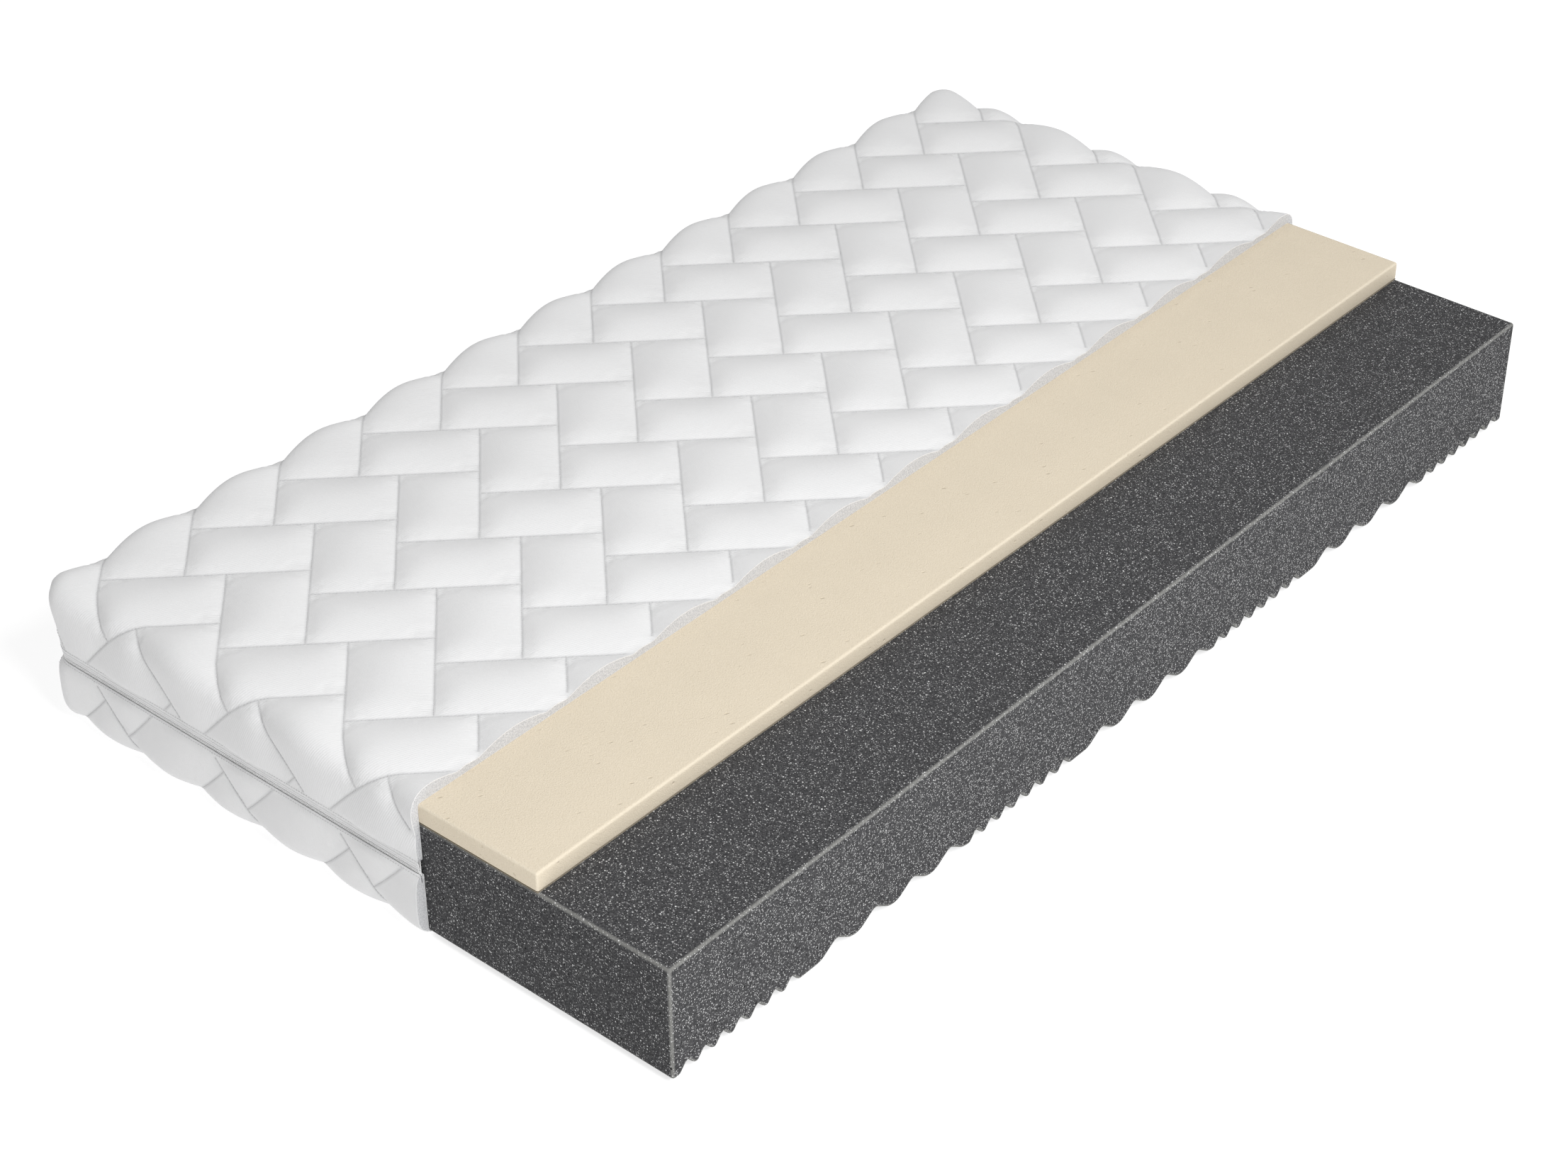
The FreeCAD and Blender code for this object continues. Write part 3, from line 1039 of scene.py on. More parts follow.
@dataclass
class CoverHalf:
    """One half of the quilted cover: cloth, wadding, lining and stitches."""

    half: Half
    body: str
    section: CoverSection
    pattern: Herringbone
    swell: Array
    centre_x: float
    centre_y: float
    cut_x: float
    border: Sequence[tuple[float, float]]
    foam_edge: FoamEdge
    cloth_thickness: float = 0.0013
    lining_thickness: float = 0.0008
    lining_gap: float = 0.0003
    corner_columns: int = 6
    clearance: float = 0.0001
    thread_lift: float = 0.0002
    fade_power: float = 2.4
    sag: float = 0.75
    sag_reach: float = 2.2
    shortest_step: float = 0.3
    lining_stride: int = 3
    border_row: float = 0.004
    border_distance: float = 0.02
    stitch: Beads = Beads(pitch=0.0047, along=0.0036, across=0.0011, depth=0.0010)

    def net(self, coarse: bool = False) -> Net:
        """Lays out the grid of the face, the three skirts and the two rounded corners.

        Args:
            coarse: Whether most grid lines are left out, for the plain lining.

        Returns:
            The net.
        """
        step = self.pattern.step
        stride = self.lining_stride if coarse else 1
        length_steps = round(2 * self.centre_y / step)
        width_steps = int((self.cut_x - self.centre_x) / step)
        columns = [*range(0, width_steps, stride), (self.cut_x - self.centre_x) / step]
        rows = [*range(0, length_steps, stride), length_steps]
        end = self.section.seam_run / step
        corner = self.corner_columns
        skirt = [k for k in range(corner + 1, int(end) + 1) if end - k > self.shortest_step]
        rings = [*range(1, corner + 1), *skirt, end]
        builder = NetBuilder(self, length_steps)
        for j in rows:
            for i in columns:
                builder.vertex(i, j)
        for level in rings:
            for i in columns:
                builder.vertex(i, -level)
                builder.vertex(i, length_steps + level)
            for j in rows:
                builder.vertex(-level, j)
        for far in (False, True):
            for m in [0] + rings:
                for n in [0] + rings:
                    if min(m, n) <= corner:
                        builder.vertex(-m, length_steps + n if far else -n)
        lines_across = [-r for r in reversed(rings)] + columns
        lines_along = [-r for r in reversed(rings)] + rows + [length_steps + r for r in rings]
        leans = self.leans(np.array(lines_across[:-1]), np.array(lines_along[:-1]))
        for n, (a, b) in enumerate(zip(lines_across, lines_across[1:])):
            for m, (c, d) in enumerate(zip(lines_along, lines_along[1:])):
                cut = not coarse and abs(b - a - 1) < 1e-6 and abs(d - c - 1) < 1e-6
                builder.square(a, b, c, d, int(leans[n, m]) if cut else Lean.NONE.value)
        return builder.finish(rings[-1], columns)

    def leans(self, across: Array, along: Array) -> Array:
        """The quilting line that crosses each grid square.

        Args:
            across: Lower grid places of the squares across the width.
            along: Lower grid places of the squares along the length.

        Returns:
            Lean values, one row for each place across.
        """
        i, j = np.meshgrid(across, along, indexing="ij")
        if self.half is Half.TOP:
            return self.pattern.lean(i, j)
        return np.array([Lean.NONE.value, Lean.LEFT.value, Lean.RIGHT.value])[self.pattern.lean(i, -j - 1)]

    def surface(self, net: Net, depth: float) -> Array:
        """Points of the swollen cloth, or of a surface just under it.

        Args:
            net: The net.
            depth: How far below the outside the surface is.

        Returns:
            One point for each vertex of the net.
        """
        section, facing = self.section, net.facing
        sign = section.half.value
        turn = section.angle(net.run)
        valley_reach, valley_height = section.outer(net.run)
        outward = np.column_stack([facing * np.sin(turn)[:, None], sign * np.cos(turn)])
        downward = np.column_stack([facing * np.cos(turn)[:, None], -sign * np.sin(turn)])
        shift = self.swell_at(net.places)
        to_seam = sign * (valley_height - section.seam_level)
        fade = 1 - (1 - np.clip(to_seam / section.fade_reach, 0.0, 1.0)) ** self.fade_power
        flat = net.run < section.roll_start
        amount = section.crown(turn) * np.where(flat, 1.0, fade)
        sag = self.sag * smooth(1 - to_seam / (self.sag_reach * section.fade_reach)) * np.sin(turn) ** 2
        points = np.column_stack([net.centres + facing * valley_reach[:, None], valley_height])
        points += outward * (amount * shift[:, 2])[:, None]
        points += downward * (amount * shift[:, 2] * sag)[:, None]
        sideways = np.column_stack([shift[:, :2], np.zeros(len(shift))])
        points[flat] += sideways[flat] * amount[flat][:, None]
        points -= outward * depth
        if section.half is Half.BOTTOM:
            points[:, 2] = np.maximum(points[:, 2], depth)
        return points

    def swell_at(self, places: Array) -> Array:
        """The swell at grid places, read between the places of one repeat."""
        i = np.mod(places[:, 0] - self.pattern.origin[0], self.pattern.repeat)
        j = np.mod(self.half.value * places[:, 1] - self.pattern.origin[1], self.pattern.course)
        i0, j0 = np.floor(i + 1e-9).astype(int), np.floor(j + 1e-9).astype(int)
        u, v = (i - i0)[:, None], (j - j0)[:, None]
        i0, j0 = i0 % self.pattern.repeat, j0 % self.pattern.course
        i1, j1 = (i0 + 1) % self.pattern.repeat, (j0 + 1) % self.pattern.course
        table = self.swell
        low = table[i0, j0] * (1 - u) + table[i1, j0] * u
        high = table[i0, j1] * (1 - u) + table[i1, j1] * u
        return low * (1 - v) + high * v

    def lining_surface(self, net: Net, gap: float) -> Array:
        """Points of the surface that lies on the foam, at a gap from it."""
        rounding = self.foam_edge.radius(net.centres[:, 0], self.half.value) + gap
        reach, height = self.section.inner(net.run, gap, rounding)
        return np.column_stack([net.centres + net.facing * reach[:, None], height])

    def border_rows(self, net: Net, points: Array, lift: float) -> tuple[Array, list[Face]]:
        """Adds the plain border beside the zip to the cloth's points.

        Args:
            net: The net.
            points: The cloth's points.
            lift: How far the surface is below the outside.

        Returns:
            All points, and the faces of the border.
        """
        rim = net.rows["rim"]
        extra, faces = [], []
        start = len(points)
        for number, (stand_off, height) in enumerate(self.border):
            reach = self.section.foam_corner + stand_off - lift
            row = net.centres[rim] + net.facing[rim] * reach
            extra.append(np.column_stack([row, np.full(len(rim), height)]))
            below = rim if number == 0 else [start + (number - 1) * len(rim) + k for k in range(len(rim))]
            above = [start + number * len(rim) + k for k in range(len(rim))]
            for k in range(len(rim) - 1):
                faces.append((below[k], below[k + 1], above[k + 1], above[k]))
        return np.vstack([points] + extra), faces

    def shell(
        self, name: str, outer: Array, inner: Array, faces: Sequence[Face]
    ) -> Piece:
        """A closed shell between two layers of the same net.

        Args:
            name: The piece's name.
            outer: Points of the outside.
            inner: Points of the inside.
            faces: Faces of the net, wound to face outwards.

        Returns:
            The piece.
        """
        count = len(outer)
        rim: dict[Edge, int] = {}
        for face in faces:
            for a, b in zip(face, face[1:] + face[:1]):
                rim[(a, b)] = rim.get((a, b), 0) + 1
        walls = [(b, a, a + count, b + count) for a, b in rim if (b, a) not in rim]
        inside = [tuple(k + count for k in reversed(face)) for face in faces]
        mesh = new_mesh(name, np.vstack([outer, inner]), list(faces) + inside + walls)
        shade_smooth(mesh)
        return add_object(name, mesh)

    def crease(self, piece: Piece, edges: Iterable[Edge], walls_from: int) -> None:
        """Marks the quilting lines and the shell's rims as sharp edges.

        Args:
            piece: The shell.
            edges: The quilting lines.
            walls_from: The number of vertices of one layer.
        """
        mesh = piece.data
        wanted = {tuple(sorted(edge)) for edge in edges}
        pairs = np.empty(len(mesh.edges) * 2, np.int32)
        mesh.edges.foreach_get("vertices", pairs)
        pairs = pairs.reshape(-1, 2)
        joins_layers = (pairs[:, 0] < walls_from) != (pairs[:, 1] < walls_from)
        rims = set(np.unique(pairs[joins_layers]).tolist())
        sharp = [
            tuple(sorted((a, b))) in wanted
            or (a in rims and b in rims and (a < walls_from) == (b < walls_from))
            for a, b in pairs.tolist()
        ]
        attribute = mesh.attributes.new("sharp_edge", "BOOLEAN", "EDGE")
        attribute.data.foreach_set("value", sharp)

    def build(self, finishes: Finishes, tree: BeadTree) -> None:
        """Builds and dresses every piece of this half.

        Args:
            finishes: The materials.
            tree: The node group for stitches.
        """
        label = "top" if self.half is Half.TOP else "bottom"
        net = self.net()
        self.build_cloth(net, label, finishes, tree)
        self.build_wadding(net, label, finishes)
        self.build_lining(label, finishes)

    def outward_faces(self, faces: Sequence[Face]) -> list[Face]:
        """Faces wound to face out of this half."""
        if self.half is Half.TOP:
            return list(faces)
        return [tuple(reversed(face)) for face in faces]

    def build_cloth(self, net: Net, label: str, finishes: Finishes, tree: BeadTree) -> None:
        """The quilted cloth and its stitching.

        Args:
            net: The net.
            label: The half's name.
            finishes: The materials.
            tree: The node group for stitches.
        """
        outer = self.surface(net, 0.0)
        inner = self.surface(net, self.cloth_thickness)
        outer, border = self.border_rows(net, outer, 0.0)
        inner, _ = self.border_rows(net, inner, self.cloth_thickness)
        faces = self.outward_faces(net.faces + border)
        piece = self.shell(label + "_cover_cloth", outer, inner, faces)
        count = len(outer)
        plain = len(outer) - len(net.places)
        distance = np.concatenate([self.stitch_distance(net), np.full(plain, self.border_distance)])
        set_attribute(piece.data, "stitch_distance", np.tile(distance, 2))
        flat = net.places * self.pattern.step
        rim = np.array(net.rows["rim"])
        rings = plain // len(rim)
        flat = np.vstack([flat] + [flat[rim] + self.border_row * (k + 1) for k in range(rings)])
        set_pattern(piece.data, np.tile(flat, (2, 1)))
        self.crease(piece, net.stitches, count)
        piece.data.materials.append(finishes.knit)
        settle(piece, self.body, label + "_cover_fabric")
        squares = sum(1.0 if len(face) == 4 else 0.5 for face in net.faces)
        mesh = piece.data
        normals = np.empty(len(mesh.vertices) * 3)
        mesh.vertices.foreach_get("normal", normals)
        normals = normals.reshape(-1, 3)[:count]
        rail = outer + self.thread_lift * normals
        zip_row, seams = net.rows["rim"], [net.rows["near_corner"], net.rows["far_corner"]]
        zip_level = "upper" if self.half is Half.TOP else "lower"
        for name, edges, node in (
            ("_quilt_stitches", net.stitches, None),
            ("_zip_seam", zip(zip_row, zip_row[1:]), zip_level + "_zip_seam_thread"),
            (
                "_corner_seam", [pair for row in seams for pair in zip(row, row[1:])],
                label + "_corner_seam_threads",
            ),
        ):
            thread = self.stitch.string(tree, label + name, rail, normals, edges, finishes.thread)
            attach(thread, self.body)
            if node is not None:
                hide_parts(node)

    def stitch_distance(self, net: Net) -> Array:
        """Distance from each vertex to the nearest quilting line."""
        return self.pattern.distance(net.places[:, 0], self.half.value * net.places[:, 1])

    def build_wadding(self, net: Net, label: str, finishes: Finishes) -> None:
        """The wadding under the cloth.

        Args:
            net: The net.
            label: The half's name.
            finishes: The materials.
        """
        outer = self.surface(net, self.cloth_thickness + self.clearance)
        inner = self.lining_surface(net, self.lining_gap + self.lining_thickness + self.clearance)
        piece = self.shell(label + "_wadding", outer, inner, self.outward_faces(net.faces))
        self.crease(piece, net.stitches, len(outer))
        piece.data.materials.append(finishes.wadding)
        settle(piece, self.body, label + "_cover_wadding")

    def build_lining(self, label: str, finishes: Finishes) -> None:
        """The lining against the foam.

        Args:
            label: The half's name.
            finishes: The materials.
        """
        net = self.net(coarse=True)
        outer = self.lining_surface(net, self.lining_gap + self.lining_thickness)
        inner = self.lining_surface(net, self.lining_gap)
        piece = self.shell(label + "_lining", outer, inner, self.outward_faces(net.faces))
        self.crease(piece, [], len(outer))
        piece.data.materials.append(finishes.lining)
        settle(piece, self.body, label + "_cover_lining")


class NetBuilder:
    """Collects the vertices and squares of a net, with the two rounded corners folded together."""

    def __init__(self, cover: CoverHalf, length_steps: int) -> None:
        """Starts an empty net.

        Args:
            cover: The half of the cover.
            length_steps: Grid steps between the centres of the near and far corners.
        """
        self.cover = cover
        self.length_steps = length_steps
        self.numbers: dict[tuple[float, float], int] = {}
        self.places: list[tuple[float, float]] = []
        self.centres: list[tuple[float, float]] = []
        self.facing: list[tuple[float, float]] = []
        self.run: list[float] = []
        self.faces: list[Face] = []
        self.stitches: list[Edge] = []

    def key(self, i: float, j: float) -> tuple[float, float]:
        """The one name of a grid place, the same on both sides of a corner's seam."""
        corner = self.cover.corner_columns
        beyond = -j if j < 0 else j - self.length_steps
        if i == -corner and beyond > corner:
            far = j > self.length_steps
            return (-beyond, self.length_steps + corner if far else -corner)
        return (i, j)

    def vertex(self, i: float, j: float) -> None:
        """Adds the vertex of a grid place.

        Args:
            i: The place across the width, negative past the corner centres.
            j: The place along the length.
        """
        key = self.key(i, j)
        if key in self.numbers:
            return
        cover, step = self.cover, self.cover.pattern.step
        corner = cover.corner_columns
        left = max(0.0, -key[0])
        near = key[1] < 0
        beyond = -key[1] if near else max(0.0, key[1] - self.length_steps)
        x = cover.centre_x + max(key[0], 0.0) * step
        y = -cover.centre_y + min(max(key[1], 0.0), self.length_steps) * step
        end_direction = -1.0 if near else 1.0
        if left == 0 and beyond == 0:
            reach_left, reach_near = cover.centre_x - x, -cover.centre_y - y
            run = max(reach_left, reach_near, y - cover.centre_y)
            if run == reach_left:
                facing, x = (-1.0, 0.0), cover.centre_x
            else:
                facing = (0.0, -1.0 if run == reach_near else 1.0)
                y = facing[1] * cover.centre_y
        elif beyond == 0:
            facing, run = (-1.0, 0.0), cover.section.taken_up(left * step)
        elif left == 0:
            facing, run = (0.0, end_direction), cover.section.taken_up(beyond * step)
        else:
            fan = min(max(left, beyond), corner)
            if beyond >= left:
                turn = 0.25 * math.pi * left / fan
            else:
                turn = QUARTER_TURN - 0.25 * math.pi * beyond / fan
            facing = (-math.sin(turn), end_direction * math.cos(turn))
            run = cover.section.taken_up(max(left, beyond) * step)
        self.numbers[key] = len(self.places)
        self.places.append((i, j))
        self.centres.append((x, y))
        self.facing.append(facing)
        self.run.append(run)

    def square(self, a: float, b: float, c: float, d: float, lean: int) -> None:
        """Adds one grid square if all its corners exist.

        Args:
            a: Its lower place across the width.
            b: Its upper place across the width.
            c: Its lower place along the length.
            d: Its upper place along the length.
            lean: A Lean value for the quilting line that crosses it.
        """
        keys = [self.key(i, j) for i, j in ((a, c), (b, c), (b, d), (a, d))]
        if any(key not in self.numbers for key in keys):
            return
        corners = [self.numbers[key] for key in keys]
        if len(set(corners)) < 4:
            return
        self.faces += split_square(corners, lean)
        if lean == Lean.RIGHT.value:
            self.stitches.append((corners[0], corners[2]))
        elif lean == Lean.LEFT.value:
            self.stitches.append((corners[1], corners[3]))

    def finish(self, last: float, columns: Sequence[float]) -> Net:
        """The finished net.

        Args:
            last: The outermost ring.
            columns: Grid places across the width, from the corner centres to the cut.

        Returns:
            The net, with its rim and its two corner seams as rows of vertices.
        """
        corner = self.cover.corner_columns
        fan = sorted({-key[0] for key in self.numbers if -corner <= key[0] < 0}, reverse=True)
        rows_along = sorted({key[1] for key in self.numbers if 0 <= key[1] <= self.length_steps})
        rim_keys = [(i, -last) for i in reversed(columns)]
        rim_keys += [(-m, -last) for m in reversed(fan)]
        rim_keys += [(-last, -m) for m in fan]
        rim_keys += [(-last, j) for j in rows_along]
        rim_keys += [(-last, self.length_steps + m) for m in reversed(fan)]
        rim_keys += [(-m, self.length_steps + last) for m in fan]
        rim_keys += [(i, self.length_steps + last) for i in columns]
        rim: list[int] = []
        for key in rim_keys:
            number = self.numbers[self.key(*key)]
            if not rim or rim[-1] != number:
                rim.append(number)
        levels = sorted({-key[0] for key in self.numbers if key[0] < -corner})
        seams = {}
        for name, far in (("near_corner", False), ("far_corner", True)):
            edge = self.length_steps + corner if far else -corner
            seams[name] = [self.numbers[(-level, edge)] for level in levels if (-level, edge) in self.numbers]
        return Net(
            np.array(self.places, float),
            np.array(self.centres, float),
            np.array(self.facing, float),
            np.array(self.run, float),
            self.faces,
            self.stitches,
            {"rim": rim, **seams},
        )


# ---- The zip ---------------------------------------------------------------------------------
@dataclass
class ZipChain:
    """The two rows of coil turns and the plain tapes behind them."""

    centre_x: float
    centre_y: float
    cut_x: float
    foam_corner: float
    pitch: float = 0.0024
    along: float = 0.0017
    overlap: float = 1.15

    def path(
        self, stand_off: float, height: float, stop_at: tuple[float, float]
    ) -> tuple[Array, Array, list[Edge]]:
        """A rail round the three sides.

        Args:
            stand_off: Its distance from the foam.
            height: Its height.
            stop_at: A stretch of the long side to leave out, from its low to its high Y.

        Returns:
            Points, outward directions and edges.
        """
        radius = self.foam_corner + stand_off
        points, outward = [(self.cut_x, -self.centre_y - radius, height)], [(0.0, -1.0, 0.0)]
        turns = [math.radians(5 * k) for k in range(19)]
        for side, arc in ((-1, turns), (1, turns[::-1])):
            for turn in arc:
                across, along = -math.sin(turn), side * math.cos(turn)
                outward.append((across, along, 0.0))
                points.append(
                    (self.centre_x + radius * across, side * self.centre_y + radius * along, height)
                )
        points.append((self.cut_x, self.centre_y + radius, height))
        outward.append((0.0, 1.0, 0.0))
        edges = [(k, k + 1) for k in range(len(points) - 1)]
        middle = next(k for k, (a, b) in enumerate(edges) if points[a][1] < 0 < points[b][1])
        first, last = len(points), len(points) + 1
        points += [(points[middle][0], y, height) for y in stop_at]
        outward += [(-1.0, 0.0, 0.0)] * 2
        edges[middle : middle + 1] = [(middle, first), (last, middle + 1)]
        return np.array(points), np.array(outward), edges

    def build(self, finishes: Finishes, tree: BeadTree) -> None:
        """Builds both rows of turns and dresses the tapes.

        Args:
            finishes: The materials.
            tree: The node group for beads.
        """
        for level, body in (("upper", "top_cover"), ("lower", "bottom_cover")):
            low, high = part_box(level + "_zip_coil")
            tape_low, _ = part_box(level + "_zip_tape")
            depth = tape_low.x - low.x
            stand_off = self.centre_x - self.foam_corner - low.x - depth / 2
            stop_low, stop_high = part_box("zip_end_stop")
            slider_low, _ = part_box("zip_slider")
            gap = (slider_low.y, stop_high.y) if level == "upper" else (stop_low.y, stop_high.y)
            points, outward, edges = self.path(stand_off, (low.z + high.z) / 2, gap)
            turns = Beads(self.pitch, self.along, self.overlap * (high.z - low.z), depth, tilt=0.0)
            coil = turns.string(tree, level + "_zip_turns", points, outward, edges, finishes.coil)
            settle(coil, body, level + "_zip_coil")
            dress(level + "_zip_tape", finishes.tape)
        for name in ("zip_end_stop", "zip_slider", "zip_pull_tab"):
            dress(name, finishes.enamel)


# ---- The foam --------------------------------------------------------------------------------
def quarter_round(radius: float) -> list[tuple[float, float]]:
    """Points of a quarter round, by how far each is back from its two sides."""
    turns = [QUARTER_TURN * k / 3 for k in range(4)]
    return [(radius * (1 - math.sin(turn)), radius * (1 - math.cos(turn))) for turn in turns]


@dataclass(frozen=True)
class Groove:
    """One kind of groove across the underside of the core."""

    pitch: float
    depth: float
    lobe: float
    apex: float

    def height(self, y: Array) -> Array:
        """Height of the underside at a distance from the groove's middle.

        Args:
            y: Distances, up to half the pitch.

        Returns:
            Heights above the lobes.
        """
        half = self.pitch / 2
        rise = self.depth - self.apex - self.lobe
        reach = math.hypot(half, rise)
        flank = math.atan2(rise, half) + math.asin((self.lobe + self.apex) / reach)
        y = np.abs(y)
        from_lobe = half - y
        top_end = self.apex * math.sin(flank)
        lobe_end = self.lobe * math.sin(flank)
        on_lobe = self.lobe - np.sqrt(np.maximum(self.lobe**2 - np.minimum(from_lobe, lobe_end) ** 2, 0.0))
        on_apex = (
            self.depth - self.apex + np.sqrt(np.maximum(self.apex**2 - np.minimum(y, top_end) ** 2, 0.0))
        )
        straight = self.lobe * (1 - math.cos(flank)) + (from_lobe - lobe_end) * math.tan(flank)
        return np.where(from_lobe < lobe_end, on_lobe, np.where(y < top_end, on_apex, straight))


@dataclass
class FoamBlocks:
    """The grooved base foam, the memory foam on it and the glue between them."""

    corner: float
    foam_edge: FoamEdge
    fine: Groove = Groove(0.0326, 0.0138, 0.0065, 0.0035)
    large: Groove = Groove(0.0778, 0.0177, 0.0295, 0.010)
    first_margin: float = 0.0276
    fine_count: int = 7
    large_count: int = 4
    repeats: int = 3
    fine_to_large: float = 0.087
    large_to_fine: float = 0.057
    rounding: float = 0.0035
    samples: int = 12
    corner_ease: float = 1.4
    flat_margin: float = 0.0012

    def grooves(self, start: float) -> list[tuple[float, Groove]]:
        """Middle and kind of every groove.

        Args:
            start: Where the near end of the core is.

        Returns:
            The grooves from the near end to the far end.
        """
        found = []
        y = start + self.first_margin
        for zone in range(self.repeats + 1):
            found += [(y + k * self.fine.pitch, self.fine) for k in range(self.fine_count)]
            y += (self.fine_count - 1) * self.fine.pitch + self.fine_to_large
            if zone == self.repeats:
                break
            found += [(y + k * self.large.pitch, self.large) for k in range(self.large_count)]
            y += (self.large_count - 1) * self.large.pitch + self.large_to_fine
        return found

    def outline(self, low: Vector, high: Vector) -> Array:
        """The core's section along its length, anticlockwise as seen from the bare side.

        Args:
            low: The core's lowest corner.
            high: Its highest corner.

        Returns:
            Rows of Y and Z.
        """
        arc = quarter_round(self.corner_ease * self.rounding)
        rows = [(low.y + back, low.z + up) for back, up in reversed(arc)]
        for middle, groove in self.grooves(low.y):
            half = groove.pitch / 2
            count = self.samples if groove is self.fine else 2 * self.samples
            for k in range(count + 1):
                y = middle - half + groove.pitch * k / count
                if y > rows[-1][0] + 1e-5:
                    rows.append((y, low.z + float(groove.height(np.array(y - middle)))))
        rows += [(high.y - back, low.z + up) for back, up in arc]
        rows += [(high.y - back, high.z - down) for down, back in arc]
        rows += [(low.y + back, high.z - down) for back, down in arc]
        return np.array(rows)

    def inset(self, outline: Array, amount: float) -> Array:
        """The outline drawn in along its own normals.

        Args:
            outline: The closed outline.
            amount: How far it is drawn in.

        Returns:
            The new outline.
        """
        ahead = np.roll(outline, -1, axis=0) - outline
        behind = outline - np.roll(outline, 1, axis=0)
        tangent = (
            ahead / np.linalg.norm(ahead, axis=1)[:, None] + behind / np.linalg.norm(behind, axis=1)[:, None]
        )
        tangent /= np.linalg.norm(tangent, axis=1)[:, None]
        return outline + amount * np.column_stack([-tangent[:, 1], tangent[:, 0]])

    def build_core(self, finishes: Finishes) -> None:
        """The base foam: its section drawn from the bare face to the covered side.

        Args:
            finishes: The materials.
        """
        low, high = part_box("core_foam")
        outline = self.outline(low, high)
        inner = self.inset(outline, self.rounding + self.flat_margin)
        rings = [np.column_stack([np.full(len(inner), high.x), inner])]
        # Each ring's share of the painted highlight, strongest on the bare end's rounded edge.
        edge = [0.0]
        for share, (inset, back) in zip((0.5, 1.0, 1.0, 0.5), quarter_round(self.rounding)):
            rings.append(np.column_stack([np.full(len(outline), high.x - back), self.inset(outline, inset)]))
            edge.append(share)
        rings.append(
            np.column_stack([np.full(len(outline), high.x - self.rounding - self.flat_margin), outline])
        )
        edge.append(0.0)
        middle_y = (low.y + high.y) / 2
        half = (high.y - low.y) / 2
        bend = half - 2 * self.corner
        cut = self.foam_edge.cut_x
        stations = [cut, cut - 0.012, cut - 0.024, cut - 0.038, cut - 0.054]
        stations += [low.x + self.corner * (1 - math.sin(QUARTER_TURN * k / 12)) for k in range(13)]
        for x in stations:
            sine = min(max((low.x + self.corner - x) / self.corner, 0.0), 1.0)
            narrow = half - self.corner * (1 - math.sqrt(1 - sine**2))
            y = outline[:, 0] - middle_y
            past = np.maximum(np.abs(y) - bend, 0.0)
            y = np.sign(y) * (np.minimum(np.abs(y), bend) + past * (narrow - bend) / (half - bend)) + middle_y
            rings.append(np.column_stack([np.full(len(outline), x), y, outline[:, 1]]))
            edge.append(0.0)
        count = len(outline)
        points = self.foam_edge.soften(np.vstack(rings), low, high, self.corner, (-1,))
        faces: list[Face] = [tuple(range(count))]
        for ring in range(len(rings) - 1):
            for k in range(count):
                a, b = ring * count + k, ring * count + (k + 1) % count
                faces.append((b, a, a + count, b + count))
        last = (len(rings) - 1) * count
        faces.append(tuple(reversed(range(last, last + count))))
        mesh = new_mesh("base_foam", points, faces)
        shade_smooth(mesh)
        # Painted highlight: the edge attribute marks the bare end's rounded rim and the four long corners for a
        # lighter colour.
        long_edges = self.corner_highlight_share(outline, low, high)
        edge_highlight = [np.zeros(count)] + [np.maximum(share, long_edges) for share in edge[1:]]
        set_attribute(mesh, "edge", np.concatenate(edge_highlight))
        mesh.set_sharp_from_angle(angle=SHARP_ANGLE)
        piece = add_object("base_foam", mesh)
        piece.data.materials.append(finishes.core)
        settle(piece, "foam_core", "core_foam")

    def corner_highlight_share(self, outline: Array, low: Vector, high: Vector) -> Array:
        """The painted highlight's share: 1 where the outline turns one of the block's four long corners, else
        0.
        """
        near_end = np.minimum(outline[:, 0] - low.y, high.y - outline[:, 0]) < self.rounding * 0.98
        near_face = np.minimum(outline[:, 1] - low.z, high.z - outline[:, 1]) < self.rounding * 0.98
        return (near_end & near_face).astype(float)

    def plan(self, low: Vector, high: Vector) -> Array:
        """The memory foam's outline from above, anticlockwise.

        Args:
            low: Its lowest corner.
            high: Its highest corner.

        Returns:
            Rows of X, Y and the outward direction.
        """
        small, cut = self.rounding * 1.05, self.foam_edge.cut_x
        rows = []
        for k in range(4):
            turn = QUARTER_TURN * k / 3
            x, y = high.x - small * (1 - math.cos(turn)), high.y - small * (1 - math.sin(turn))
            rows.append((x, y, math.cos(turn), math.sin(turn)))
        rows += [(cut - 0.009 * k, high.y, 0.0, 1.0) for k in range(7)]
        for k in range(9):
            turn = QUARTER_TURN * (1 + k / 8)
            x = low.x + self.corner * (1 + math.cos(turn))
            rows.append((x, high.y - self.corner * (1 - math.sin(turn)), math.cos(turn), math.sin(turn)))
        middle = (low.y + high.y) / 2
        rows += [(x, 2 * middle - y, nx, -ny) for x, y, nx, ny in reversed(rows)]
        return np.array(rows)

    def drawn_in(self, outline: Array, inset: float, low: Vector, high: Vector) -> Array:
        """The outline drawn in by an inset, with square corners once the bare corners' radius is used up.

        Args:
            outline: Rows of X, Y and the outward direction.
            inset: How far it is drawn in.
            low: The block's lowest corner.
            high: Its highest corner.

        Returns:
            Rows of X and Y.
        """
        drawn = outline[:, :2] - inset * outline[:, 2:]
        if inset > self.rounding:
            bare = outline[:, 0] > high.x - 1.06 * self.rounding
            drawn[bare, 0] = high.x - inset
            far = outline[bare, 1] > (low.y + high.y) / 2
            drawn[bare, 1] = np.where(far, high.y - inset, low.y + inset)
        return drawn

